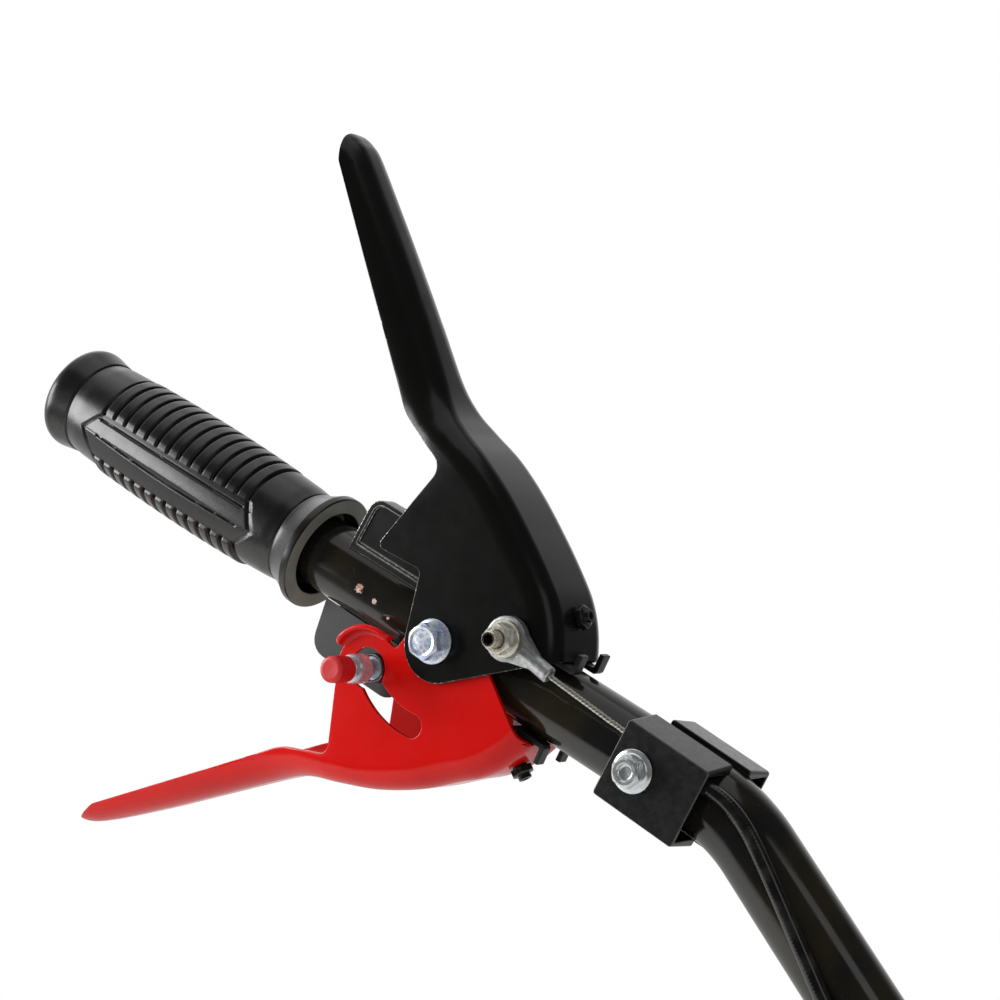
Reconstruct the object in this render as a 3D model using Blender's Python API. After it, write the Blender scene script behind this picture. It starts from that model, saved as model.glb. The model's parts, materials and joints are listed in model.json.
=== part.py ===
"""Handlebar end of a garden cultivator: grip, drive lever, reverse lever with its lock button, and cable clamp.

The pieces are drawn in the handlebar's own frame, in millimetres: x runs along the tube away from the grip,
y runs away from the side with the lock button, and z stands square to the tube. Its origin is the middle of
the lever pivot. An empty turns and places that frame, so that the world's origin is the tube's lower end.
"""

import math

import bmesh
import bpy
from mathutils import Matrix, Vector

MM = 0.001

# Clearances
SEAT_GAP = 0.3
RUNNING_GAP = 0.3
SLIDING_GAP = 0.4

# Handlebar tube
TUBE_INCLINE = math.radians(28.24)
TUBE_RADIUS = 14.0
TUBE_WALL = 1.6
TUBE_TOP_END = -209.4
BEND_CORNER = 124.2
BEND_ANGLE = math.radians(25.8)
BEND_RADIUS = 62.0
TAIL_LENGTH = 118.0
TUBE_SIDES = 32
BEND_STEPS = 6

# Grip
GRIP_INNER_END = -70.9
GRIP_LENGTH = 143.0
GRIP_MIDDLE_RADIUS = 21.3
GRIP_WAIST_RADIUS = 18.6
GRIP_OUTER_RADIUS = 19.4
GRIP_FLANGE_RADIUS = 23.3
GRIP_END_RADIUS = 21.5
GRIP_END_WIDTH = 7.0
GRIP_FLANGE_WIDTH = 5.6
GRIP_END_WALL = 4.0
GRIP_MOUTH_RADIUS = 17.2
GRIP_MOUTH_DEPTH = 8.0
GRIP_SIDES = 32
RIB_GROOVE_WIDTH = 1.8
RIB_GROOVE_DEPTH = 1.2
RIB_PITCH = 6.33
UPPER_GROOVES = 13
UPPER_GROOVE_START = -177.4
UPPER_GROOVE_EDGE = 18.0
LOWER_GROOVES = 14
LOWER_GROOVE_START = -183.6
LOWER_GROOVE_EDGE = 42.0

# Pivot
PIVOT_BOLT_RADIUS = 4.0
PIVOT_FLANGE_RADIUS = 8.2
PIVOT_HEX = 12.0
PIVOT_HEAD_HEIGHT = 5.4
PIVOT_NUT_HEIGHT = 6.2
PIVOT_BUSH_RADIUS = 6.5
PIVOT_BUSH_PROUD = 1.9

# Pressed levers
LEVER_SHEET = 2.0
LEVER_CORNER = 9.5
HANDLE_HALF_WIDTH = 15.5
TIP_HALF_WIDTH = 14.3
PLATE_GAP = 0.4
LEVER_CORNER_STEPS = 3
STATION_STEPS = 2
HUB_CORNER = 14.0
DRIVE_NOSE_RADIUS = 49.3
REVERSE_NOSE_RADIUS = 51.0
DRIVE_NOSE_EDGE = 16.6
REVERSE_NOSE_EDGE = 15.6

# Cable ends
STUD_X = 29.1
STUD_Z = 16.8
STUD_RADIUS = 3.0
STUD_HEAD_RADIUS = 5.5
STUD_HEAD_HEIGHT = 1.6
STUD_COLLAR_RADIUS = 5.0
STUD_COLLAR_HEIGHT = 1.0
STUD_END_LENGTH = 5.0
STUD_SOCKET_RADIUS = 1.7
STUD_SOCKET_DEPTH = 3.5
EYE_RADIUS = 8.2
EYE_THICKNESS = 4.2
EYE_BOSS_RADIUS = 3.1
EYE_BOSS_LENGTH = 21.5
STUD_NUT_FLANGE_RADIUS = 6.6
STUD_NUT_FLANGE = 1.6
STUD_NUT_HEX = 10.0
STUD_NUT_HEIGHT = 4.0
WIRE_RADIUS = 0.95
WIRE_REACH = 76.0
WIRE_SOCKET_DEPTH = 5.0

# Cable clamp
CLAMP_NEAR_END = 81.9
CLAMP_LENGTH = 34.5
CLAMP_HALF_HEIGHT = 14.7
CLAMP_FACE = 20.5
CLAMP_INNER_FACE = 3.2
CLAMP_DRAFT = 1.6
CLAMP_TILT = math.radians(1.8)
CLAMP_REAR_SHIFT = 4.2
CLAMP_WALL = 1.9
CLAMP_BOLT_X = 91.8
CLAMP_BOLT_RADIUS = 3.0
CLAMP_FLANGE_RADIUS = 7.6
CLAMP_HEX = 10.0
CLAMP_HEAD_HEIGHT = 4.6
CLAMP_NUT_HEIGHT = 5.0
CLAMP_POCKET_DEPTH = 14.0
CABLE_ENTRY_Z = 9.0
CABLE_ENTRY_Y = 17.0
CABLE_ENTRY_PLAY = 3.1

# Cable sheaths
SHEATH_RADIUS = 2.7
SHEATH_START = 107.0
SHEATH_CORNER_STEPS = 2
SHEATH_POINT_STEP = 9.0

# Lock button
LOCK_ARM = 32.0
LOCK_ANGLE = math.radians(226.5)
LOCK_SLOT_END = math.radians(278.5)
LOCK_SLOT_RADIUS = 32.6
LOCK_SLOT_WIDTH = 8.8
LOCK_HOLE_RADIUS = 7.7
LOCK_PIN_RADIUS = 3.4
LOCK_COLLAR_RADIUS = 5.5
LOCK_COLLAR_LENGTH = 8.0
LOCK_TRAVEL = 3.5
LOCK_NECK_RADIUS = 4.0
LOCK_NECK_LENGTH = 1.6
LOCK_CAP_RADIUS = 4.9
LOCK_CAP_LENGTH = 9.4
LOCK_BUSH_RADIUS = 5.6
LOCK_BUSH_WALL = 0.9
LOCK_SHOULDER_LENGTH = 1.5
LOCK_TAIL_RADIUS = 2.5
LOCK_CLIP_RADIUS = 4.6
LOCK_CLIP_THICKNESS = 1.2
RING_ROUND_HOLE = 13.8

# Brackets welded to the tube
BRACKET_SHEET = 2.0
BRACKET_WEB_Y = -3.4
BRACKET_RIM_Y = -10.3
BRACKET_RECESS = 1.2
BRACKET_LEFT = -56.5
BRACKET_RIGHT = -14.0
UPPER_BRACKET_TOP = 32.3
LOWER_BRACKET_BOTTOM = 34.0
BRACKET_CORNER = 6.0

# Stop pads in the noses of the levers
PAD_HALF_WIDTH = 6.5
PAD_SEAT_GAP = 0.5
PAD_FOOT_GAP = 0.6
PAD_FOOT_OUTER = 10.5
PAD_FOOT_INNER = 5.5
PAD_TOE_GAP = 0.3
PAD_TOE_WIDTH = 2.1
PAD_TOE_HEIGHT = 5.8
PAD_SOLE = 2.0
PAD_DEPTH = 15.3
PAD_FOOT_DEPTH = 11.3
PAD_SCREW_DEPTH = 10.3
PAD_SCREW_RADIUS = 2.5
DRIVE_SCREW_ANGLE = math.radians(38.0)
REVERSE_SCREW_ANGLE = math.radians(33.5)
PAD_SCREW_HEX = 8.0
PAD_SCREW_END = 4.4

BUSH_END = TUBE_RADIUS + PIVOT_BUSH_PROUD
REVERSE_INNER = BUSH_END + RUNNING_GAP
REVERSE_OUTER = REVERSE_INNER + LEVER_SHEET
DRIVE_INNER = REVERSE_OUTER + PLATE_GAP
DRIVE_OUTER = DRIVE_INNER + LEVER_SHEET
LOCK_X = LOCK_ARM * math.cos(LOCK_ANGLE)
LOCK_Z = LOCK_ARM * math.sin(LOCK_ANGLE)


def clear_scene():
    for thing in list(bpy.data.objects):
        bpy.data.objects.remove(thing, do_unlink=True)


def srgb(code):
    """A six-digit sRGB colour as linear RGBA."""
    channels = [int(code[i : i + 2], 16) / 255.0 for i in (0, 2, 4)]
    linear = [c / 12.92 if c <= 0.04045 else ((c + 0.055) / 1.055) ** 2.4 for c in channels]
    return (*linear, 1.0)


def material(name, colour, roughness, metallic):
    made = bpy.data.materials.new(name)
    made.use_nodes = True
    shader = made.node_tree.nodes["Principled BSDF"]
    shader.inputs["Base Color"].default_value = srgb(colour)
    shader.inputs["Roughness"].default_value = roughness
    shader.inputs["Metallic"].default_value = metallic
    return made


def finish(name, bm, parent, look):
    """Turn a bmesh in millimetres into a named object with outward faces and smooth round sides."""
    bmesh.ops.remove_doubles(bm, verts=bm.verts, dist=1e-4)
    bmesh.ops.recalc_face_normals(bm, faces=bm.faces)
    bmesh.ops.scale(bm, vec=(MM, MM, MM), verts=bm.verts)
    mesh = bpy.data.meshes.new(name)
    bm.to_mesh(mesh)
    bm.free()
    mesh.shade_smooth()
    mesh.set_sharp_from_angle(angle=math.radians(35.0))
    if look:
        mesh.materials.append(look)
    made = bpy.data.objects.new(name, mesh)
    bpy.context.scene.collection.objects.link(made)
    made.parent = parent
    return made


def empty(name, parent, place):
    made = bpy.data.objects.new(name, None)
    bpy.context.scene.collection.objects.link(made)
    made.parent = parent
    made.location = Vector(place) * MM
    return made


def boolean(target, tool, operation):
    """Cut, join or cross the target with a tool that is itself left out of the model."""
    step = target.modifiers.new(tool.name, "BOOLEAN")
    step.operation = operation
    step.solver = "EXACT"
    step.object = tool
    tool.hide_render = True
    tool.display_type = "WIRE"
    return target


def cut(target, *tools):
    for tool in tools:
        boolean(target, tool, "DIFFERENCE")
    return target


def prism(name, outline, y_low, y_high, parent, look=None):
    """An outline in x and z, pushed from y_low to y_high."""
    bm = bmesh.new()
    base = bm.faces.new([bm.verts.new((x, y_low, z)) for x, z in outline])
    pushed = bmesh.ops.extrude_face_region(bm, geom=[base])
    corners = [v for v in pushed["geom"] if isinstance(v, bmesh.types.BMVert)]
    bmesh.ops.translate(bm, verts=corners, vec=(0, y_high - y_low, 0))
    return finish(name, bm, parent, look)


def box(name, low, high, parent, look=None):
    outline = [(low[0], low[2]), (high[0], low[2]), (high[0], high[2]), (low[0], high[2])]
    return prism(name, outline, low[1], high[1], parent, look)


def hex_radius(across, angle):
    """Distance from the axis to a hexagon's side, with a corner at angle 0."""
    sector = math.radians(60.0)
    return across / 2.0 / math.cos((angle % sector) - sector / 2.0)


def stacked(name, rings, parent, look=None, sides=18, axis="Y", centre=(0.0, 0.0, 0.0), open_core=False):
    """Rings stacked along an axis: each is (place on the axis, radius) or (place, width, "hex")."""
    turn = {"Y": Matrix.Rotation(math.radians(90.0), 4, "X"), "X": Matrix.Rotation(math.radians(90.0), 4, "Y")}[axis]
    way = -1.0 if axis == "Y" else 1.0
    bm = bmesh.new()
    loops = []
    for ring in rings:
        if ring[1] == 0.0:
            loops.append([bm.verts.new((0.0, 0.0, way * ring[0]))])
            continue
        loop = []
        for i in range(sides):
            angle = 2.0 * math.pi * i / sides
            radius = hex_radius(ring[1], angle) if len(ring) == 3 else ring[1]
            loop.append(bm.verts.new((radius * math.cos(angle), radius * math.sin(angle), way * ring[0])))
        loops.append(loop)
    pairs = list(zip(loops, loops[1:]))
    if open_core:
        pairs.append((loops[-1], loops[0]))
    for low, high in pairs:
        for i in range(sides):
            j = (i + 1) % sides
            if len(low) == 1:
                bm.faces.new((low[0], high[j], high[i]))
            elif len(high) == 1:
                bm.faces.new((low[i], low[j], high[0]))
            else:
                bm.faces.new((low[i], low[j], high[j], high[i]))
    bmesh.ops.transform(bm, matrix=Matrix.Translation(centre) @ turn, verts=bm.verts)
    return finish(name, bm, parent, look)


def rod(name, radius, low, high, parent, look=None, sides=24, axis="Y", centre=(0.0, 0.0, 0.0)):
    rings = [(low, 0.0), (low, radius), (high, radius), (high, 0.0)]
    return stacked(name, rings, parent, look, sides, axis, centre)


def rounded(corners, step=math.radians(18.0)):
    """An outline from corners (x, z) or (x, z, radius), whose radii are drawn as arcs."""
    points = []
    count = len(corners)
    for i, corner in enumerate(corners):
        here = Vector(corner[:2])
        if len(corner) == 2:
            points.append(tuple(here))
            continue
        back = (Vector(corners[i - 1][:2]) - here).normalized()
        ahead = (Vector(corners[(i + 1) % count][:2]) - here).normalized()
        half = math.acos(max(-1.0, min(1.0, back.dot(ahead)))) / 2.0
        reach = corner[2] / math.tan(half)
        middle = here + (back + ahead).normalized() * (corner[2] / math.sin(half))
        start = here + back * reach - middle
        end = here + ahead * reach - middle
        sweep = math.atan2(start.x * end.y - start.y * end.x, start.dot(end))
        steps = max(1, math.ceil(abs(sweep) / step))
        for k in range(steps + 1):
            turned = start.copy()
            turned.rotate(Matrix.Rotation(sweep * k / steps, 2))
            points.append(tuple(middle + turned))
    return points


def round_corner(centre, radius, start, end):
    """The corner whose fillet is the arc from start to end about a centre."""
    half = (end - start) / 2.0
    reach = radius / math.cos(half)
    return (centre[0] + reach * math.cos(start + half), centre[1] + reach * math.sin(start + half), radius)


def arc(centre, radius, start, end, steps):
    """Points on an arc about a centre."""
    angles = [start + (end - start) * k / steps for k in range(steps + 1)]
    return [(centre[0] + radius * math.cos(a), centre[1] + radius * math.sin(a)) for a in angles]


def loft(name, loops, parent, look=None, ring=False):
    """Skin a row of loops of equal length. A ring's loops are tubes' sections, closed at both ends."""
    bm = bmesh.new()
    rows = [[bm.verts.new(point) for point in loop] for loop in loops]
    if ring:
        rows.append(rows[0])
    count = len(rows[0])
    for low, high in zip(rows, rows[1:]):
        for i in range(count):
            j = (i + 1) % count
            bm.faces.new((low[i], low[j], high[j], high[i]))
    if not ring:
        bm.faces.new(rows[0])
        bm.faces.new(rows[-1])
    return finish(name, bm, parent, look)


def spline(rows, steps):
    """Rows of numbers, joined by a smooth curve through every one, with steps between each two."""
    smooth = []
    for i in range(len(rows) - 1):
        before = rows[max(i - 1, 0)]
        after = rows[min(i + 2, len(rows) - 1)]
        for k in range(steps):
            t = k / steps
            smooth.append(
                tuple(
                    0.5 * (2 * b + (c - a) * t + (2 * a - 5 * b + 4 * c - d) * t**2 + (3 * b - a - 3 * c + d) * t**3)
                    for a, b, c, d in zip(before, rows[i], rows[i + 1], after)
                )
            )
    smooth.append(rows[-1])
    return smooth


def tube_axis(run):
    """The place, direction and upper normal of the tube's axis, a run along it from the pivot."""
    bend_start = BEND_CORNER - BEND_RADIUS * math.tan(BEND_ANGLE / 2.0)
    if run <= bend_start:
        return Vector((run, 0, 0)), Vector((1, 0, 0)), Vector((0, 0, 1))
    bend_length = BEND_RADIUS * BEND_ANGLE
    turned = min((run - bend_start) / bend_length, 1.0) * BEND_ANGLE
    along = Vector((math.cos(turned), 0, -math.sin(turned)))
    normal = Vector((math.sin(turned), 0, math.cos(turned)))
    middle = Vector((bend_start, 0, -BEND_RADIUS))
    place = middle + normal * BEND_RADIUS + along * max(run - bend_start - bend_length, 0.0)
    return place, along, normal


def tube_end_run():
    bend_start = BEND_CORNER - BEND_RADIUS * math.tan(BEND_ANGLE / 2.0)
    tail = TAIL_LENGTH - BEND_RADIUS * math.tan(BEND_ANGLE / 2.0)
    return bend_start + BEND_RADIUS * BEND_ANGLE + tail


def tube_sections(radius, start, end):
    """Round sections on the tube's axis from one run to another, with those of the bend between."""
    bend_start = BEND_CORNER - BEND_RADIUS * math.tan(BEND_ANGLE / 2.0)
    bend = [bend_start + BEND_RADIUS * BEND_ANGLE * k / BEND_STEPS for k in range(BEND_STEPS + 1)]
    angles = [2.0 * math.pi * i / TUBE_SIDES for i in range(TUBE_SIDES)]
    sections = []
    for run in [start, *[run for run in bend if start < run < end], end]:
        place, _, normal = tube_axis(run)
        sections.append([place + normal * radius * math.sin(a) + Vector((0, radius * math.cos(a), 0)) for a in angles])
    return sections


def tube(parent, look):
    """The bent handlebar tube, open at both ends, with its cross holes."""
    outer = tube_sections(TUBE_RADIUS, TUBE_TOP_END, tube_end_run())
    inner = tube_sections(TUBE_RADIUS - TUBE_WALL, TUBE_TOP_END, tube_end_run())
    made = loft("handlebar_tube", outer + inner[::-1], parent, look, ring=True)
    reach = TUBE_RADIUS + 5.0
    bush_hole = rod("cut_bush_hole", PIVOT_BUSH_RADIUS + SEAT_GAP, -reach, reach, parent)
    bolt_hole = rod(
        "cut_clamp_bolt_hole", CLAMP_BOLT_RADIUS + SEAT_GAP, -reach, reach, parent, centre=(CLAMP_BOLT_X, 0, 0)
    )
    return cut(made, bush_hole, bolt_hole)


def groove_cutter(name, place, start, end, steps, parent):
    """A ring sector that cuts one rib groove, from start to end about the grip's axis."""
    low = GRIP_MIDDLE_RADIUS - RIB_GROOVE_DEPTH
    high = GRIP_MIDDLE_RADIUS + 6.0
    half = RIB_GROOVE_WIDTH / 2.0
    loops = []
    for k in range(steps + 1):
        angle = start + (end - start) * k / steps
        out = Vector((0, -math.cos(angle), math.sin(angle)))
        loops.append(
            [
                Vector((place - half * 0.5, 0, 0)) + out * low,
                Vector((place + half * 0.5, 0, 0)) + out * low,
                Vector((place + half * 2.0, 0, 0)) + out * high,
                Vector((place - half * 2.0, 0, 0)) + out * high,
            ]
        )
    return loft(name, loops, parent)


def grip_radius(x):
    """The barrel of the grip: a smooth swell between its two waists."""
    start = GRIP_INNER_END - GRIP_LENGTH + GRIP_END_WIDTH
    end = GRIP_INNER_END - GRIP_FLANGE_WIDTH
    share = (x - start) / (end - start)
    waist = GRIP_OUTER_RADIUS + (GRIP_WAIST_RADIUS - GRIP_OUTER_RADIUS) * share
    return waist + (GRIP_MIDDLE_RADIUS - waist) * math.sin(math.pi * share) ** 0.8


def grip(parent, look):
    """The moulded grip: a barrel between two flanges, blind at its outer end."""
    outer_end = GRIP_INNER_END - GRIP_LENGTH
    flange_start = GRIP_INNER_END - GRIP_FLANGE_WIDTH
    barrel_start = outer_end + GRIP_END_WIDTH
    bore = TUBE_RADIUS + SEAT_GAP
    rings = [
        (outer_end, 0.0),
        (outer_end, GRIP_END_RADIUS - 3.0),
        (outer_end + 0.9, GRIP_END_RADIUS - 0.8),
        (outer_end + 2.2, GRIP_END_RADIUS),
        (barrel_start - 0.8, GRIP_END_RADIUS),
        (barrel_start, GRIP_OUTER_RADIUS),
    ]
    steps = 10
    for k in range(1, steps + 1):
        x = barrel_start + (flange_start - barrel_start) * k / steps
        rings.append((x, grip_radius(x)))
    rings += [
        (flange_start + 0.4, GRIP_FLANGE_RADIUS - 2.2),
        (GRIP_INNER_END - 1.4, GRIP_FLANGE_RADIUS),
        (GRIP_INNER_END - 0.4, GRIP_FLANGE_RADIUS),
        (GRIP_INNER_END, GRIP_FLANGE_RADIUS - 0.6),
        (GRIP_INNER_END, GRIP_MOUTH_RADIUS),
        (GRIP_INNER_END - GRIP_MOUTH_DEPTH, GRIP_MOUTH_RADIUS),
        (GRIP_INNER_END - GRIP_MOUTH_DEPTH, bore),
        (outer_end + GRIP_END_WALL, bore),
        (outer_end + GRIP_END_WALL, 0.0),
    ]
    made = stacked("grip", rings, parent, look, sides=GRIP_SIDES, axis="X")
    for k in range(UPPER_GROOVES):
        edge = math.radians(UPPER_GROOVE_EDGE)
        place = UPPER_GROOVE_START + RIB_PITCH * k
        cut(made, groove_cutter(f"cut_upper_groove_{k}", place, edge, math.pi - edge, 9, parent))
    for k in range(LOWER_GROOVES):
        edge = math.radians(LOWER_GROOVE_EDGE)
        place = LOWER_GROOVE_START + RIB_PITCH * k
        cut(made, groove_cutter(f"cut_lower_groove_{k}", place, -edge, edge - math.pi, 7, parent))
    return made


def lever_section(spine, edge, half_width, tilt):
    """One section of a pressed channel: its outer skin, then its inner skin back again."""
    depth_way = (edge - spine).normalized()
    depth = (edge - spine).length
    skins = []
    for inset in (0.0, LEVER_SHEET):
        width = half_width - inset
        radius = max(min(LEVER_CORNER, half_width * 0.85) - inset, 0.4)
        top = inset / tilt
        quarter = [math.pi / 2.0 * k / LEVER_CORNER_STEPS for k in range(LEVER_CORNER_STEPS + 1)]
        side = [(width, depth)]
        side += [(width - radius + radius * math.cos(a), top + radius - radius * math.sin(a)) for a in quarter]
        skins.append([(-y, d) for y, d in side] + [(y, d) for y, d in reversed(side)])
    outline = skins[0] + list(reversed(skins[1]))
    return [spine + depth_way * d + Vector((0, y, 0)) for y, d in outline]


def lever_shell(name, stations, hub_half_width, flip, parent, look):
    """A channel pressed from sheet, lofted along its spine. Each station is (spine x, z, edge x, z, width).

    Width 1 is the hub's, 0 the handle's, and below 0 the rounded tip's.
    """
    rows = spline(stations, STATION_STEPS)
    loops = []
    for i, row in enumerate(rows):
        ahead = rows[min(i + 1, len(rows) - 1)]
        behind = rows[max(i - 1, 0)]
        along = Vector((ahead[0] - behind[0], 0, ahead[1] - behind[1])).normalized()
        spine = Vector((row[0], 0, row[1]))
        edge = Vector((row[2], 0, row[3]))
        way = (edge - spine).normalized()
        tilt = max(abs(way.x * along.z - way.z * along.x), 0.5)
        if row[4] >= 0.0:
            width = HANDLE_HALF_WIDTH + (hub_half_width - HANDLE_HALF_WIDTH) * row[4]
        else:
            width = HANDLE_HALF_WIDTH + (HANDLE_HALF_WIDTH - TIP_HALF_WIDTH) * row[4]
        loop = lever_section(spine, edge, width, tilt)
        loops.append([Vector((p.x, p.y, p.z * flip)) for p in loop])
    return loft(name, loops, parent, look)


def nose_stations(radius):
    """Stations round a lever's nose, whose spine is an arc about the pivot."""
    stations = []
    for degrees, edge_x, edge_z in ((7, 2, -30), (20, -8, -26), (33, -15, -22), (45, -22, -19), (57, -29, -14)):
        angle = math.radians(degrees)
        stations.append((radius * math.cos(angle), radius * math.sin(angle), edge_x, edge_z, 1.0))
    return stations


DRIVE_STATIONS = [
    *nose_stations(DRIVE_NOSE_RADIUS),
    (14.6, 49.7, -36.0, -8.0, 1.0),
    (-1.6, 59.5, -45.0, 3.0, 1.0),
    (-16.8, 66.7, -50.0, 16.0, 1.0),
    (-30.1, 71.3, -52.0, 35.0, 0.8),
    (-40.2, 75.8, -55.0, 50.0, 0.45),
    (-50.6, 83.5, -63.0, 62.0, 0.12),
    (-69.7, 100.1, -82.0, 83.0, 0.0),
    (-90.0, 117.0, -102.0, 101.0, -0.3),
    (-110.0, 133.0, -121.0, 119.0, -0.6),
    (-124.0, 143.9, -134.0, 132.0, -0.6),
    (-129.8, 147.5, -139.5, 136.5, -1.0),
    (-133.6, 149.5, -143.0, 139.5, -2.4),
    (-135.8, 150.0, -145.5, 141.0, -5.0),
]

REVERSE_STATIONS = [
    *nose_stations(REVERSE_NOSE_RADIUS),
    (15.0, 53.3, -36.0, -8.0, 1.0),
    (-1.0, 62.9, -45.0, 3.0, 1.0),
    (-17.0, 69.5, -50.0, 16.0, 1.0),
    (-29.0, 74.0, -50.0, 38.0, 0.8),
    (-38.0, 79.3, -53.0, 56.0, 0.45),
    (-49.0, 88.3, -60.0, 71.0, 0.12),
    (-67.0, 104.3, -77.0, 89.0, 0.0),
    (-86.0, 121.2, -95.0, 107.0, -0.3),
    (-103.0, 135.7, -111.0, 122.0, -0.6),
    (-113.5, 144.2, -123.0, 132.0, -0.6),
    (-119.6, 148.4, -129.0, 137.0, -1.1),
    (-123.6, 150.5, -133.0, 140.5, -2.5),
    (-125.8, 151.1, -135.5, 142.0, -5.2),
]


def stud_rod(name, radius, near, far, flip, parent):
    return rod(name, radius, near, far, parent, centre=(STUD_X, 0, STUD_Z * flip))


def spine_hole(name, spine_radius, angle, parent):
    """The screw hole through a lever's spine, square to it."""
    near = spine_radius - PAD_DEPTH
    made = rod(name, PAD_SCREW_RADIUS + SEAT_GAP, near, spine_radius + 9.0, parent, sides=16, axis="X")
    made.rotation_euler = (0, -angle, 0)
    return made


def nose_end(name, spine_radius, edge, flip, parent):
    """The space that ends a nose's spine squarely over the feet of its stop pad."""
    half = PAD_FOOT_OUTER + SEAT_GAP
    sides = sorted((0.0, edge * flip))
    near = spine_radius - PAD_DEPTH
    return box(name, (near, -half, sides[0]), (spine_radius + 14.0, half, sides[1]), parent)


def drive_lever(parent, look):
    """The drive lever: a hub plate on each side of the tube, a curved spine and the handle."""
    shell = lever_shell("drive_lever", DRIVE_STATIONS, DRIVE_OUTER, 1.0, parent, look)
    outline = rounded(
        [
            (DRIVE_NOSE_RADIUS + 15.0, DRIVE_NOSE_EDGE),
            (DRIVE_NOSE_RADIUS - 2.9, DRIVE_NOSE_EDGE, 1.5),
            (-7.0, -25.0, HUB_CORNER),
            (-17.2, 20.0, 2.5),
            (-38.6, 18.8, 2.4),
            (-26.8, 56.9, 5.5),
            (-53.2, 66.6, 20.0),
            (-128.3, 137.6, 6.0),
            (-137.0, 152.0),
            (-145.0, 190.0),
            (DRIVE_NOSE_RADIUS + 15.0, 190.0),
        ]
    )
    reach = DRIVE_OUTER + 6.0
    boolean(shell, prism("cut_drive_outline", outline, -reach, reach, parent), "INTERSECT")
    pivot = rod("cut_drive_pivot", PIVOT_BOLT_RADIUS + RUNNING_GAP, -reach, reach, parent)
    stud = stud_rod("cut_drive_stud", STUD_RADIUS + SEAT_GAP, -reach, -DRIVE_INNER + 4.0, 1.0, parent)
    end = nose_end("cut_drive_nose", DRIVE_NOSE_RADIUS, DRIVE_NOSE_EDGE, 1.0, parent)
    screw = spine_hole("cut_drive_screw", DRIVE_NOSE_RADIUS, DRIVE_SCREW_ANGLE, parent)
    return cut(shell, pivot, stud, end, screw)


def reverse_outline():
    """The side of the reverse lever, drawn upright: hub, ring round the lock hole, and handle edge."""
    ring_middle = (LOCK_X, -LOCK_Z)
    ring_start = math.radians(-74.0)
    ring_end = math.radians(-199.8)
    return rounded(
        [
            (REVERSE_NOSE_RADIUS + 15.0, REVERSE_NOSE_EDGE),
            (REVERSE_NOSE_RADIUS - 4.5, REVERSE_NOSE_EDGE, 12.0),
            (-7.0, -23.5, HUB_CORNER),
            (-14.4, 11.4, 1.9),
            round_corner(ring_middle, RING_ROUND_HOLE, ring_start, ring_end),
            (-23.0, 60.2, 4.0),
            (-44.0, 68.5, 22.0),
            (-93.8, 115.6),
            (-117.4, 137.7, 5.0),
            (-125.6, 152.0),
            (-136.0, 190.0),
            (REVERSE_NOSE_RADIUS + 15.0, 190.0),
        ],
        math.radians(16.0),
    )


def lock_slot(parent):
    """The keyhole's slot: an arc about the pivot, as wide as the pin and its clearance."""
    outer = LOCK_SLOT_RADIUS + LOCK_SLOT_WIDTH / 2.0
    inner = LOCK_SLOT_RADIUS - LOCK_SLOT_WIDTH / 2.0
    end_middle = (LOCK_SLOT_RADIUS * math.cos(LOCK_SLOT_END), LOCK_SLOT_RADIUS * math.sin(LOCK_SLOT_END))
    outline = arc((0, 0), outer, LOCK_ANGLE, LOCK_SLOT_END, 7)
    outline += arc(end_middle, LOCK_SLOT_WIDTH / 2.0, LOCK_SLOT_END, LOCK_SLOT_END + math.pi, 7)[1:-1]
    outline += arc((0, 0), inner, LOCK_SLOT_END, LOCK_ANGLE, 7)
    return prism("cut_lock_slot", outline, -REVERSE_OUTER - 8.0, -REVERSE_INNER + 4.0, parent)


def reverse_lever(parent, look):
    """The reverse lever, hung the other way up, with the keyhole for the lock in its near plate."""
    shell = lever_shell("reverse_lever", REVERSE_STATIONS, REVERSE_OUTER, -1.0, parent, look)
    outline = [(x, -z) for x, z in reverse_outline()]
    reach = REVERSE_OUTER + 6.0
    boolean(shell, prism("cut_reverse_outline", outline, -reach, reach, parent), "INTERSECT")
    pivot = rod("cut_reverse_pivot", PIVOT_BOLT_RADIUS + RUNNING_GAP, -reach, reach, parent)
    stud = stud_rod("cut_reverse_stud", STUD_RADIUS + SEAT_GAP, REVERSE_INNER - 4.0, reach, -1.0, parent)
    hole = rod(
        "cut_lock_hole",
        LOCK_HOLE_RADIUS,
        -REVERSE_OUTER - 8.0,
        -REVERSE_INNER + 4.0,
        parent,
        centre=(LOCK_X, 0, LOCK_Z),
    )
    screw = spine_hole("cut_reverse_screw", REVERSE_NOSE_RADIUS, -REVERSE_SCREW_ANGLE, parent)
    end = nose_end("cut_reverse_nose", REVERSE_NOSE_RADIUS, REVERSE_NOSE_EDGE, -1.0, parent)
    side = rounded(
        [(-70.0, -57.4), (-21.2, -57.4, 4.0), (-28.6, -34.0, 8.0), (-28.6, -14.0, 8.0), (-70.0, -14.0)],
        math.radians(30.0),
    )
    far_side = prism("cut_reverse_far_side", side, REVERSE_INNER - 4.0, REVERSE_OUTER + 4.0, parent)
    return cut(shell, pivot, stud, hole, lock_slot(parent), end, far_side, screw)


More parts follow.
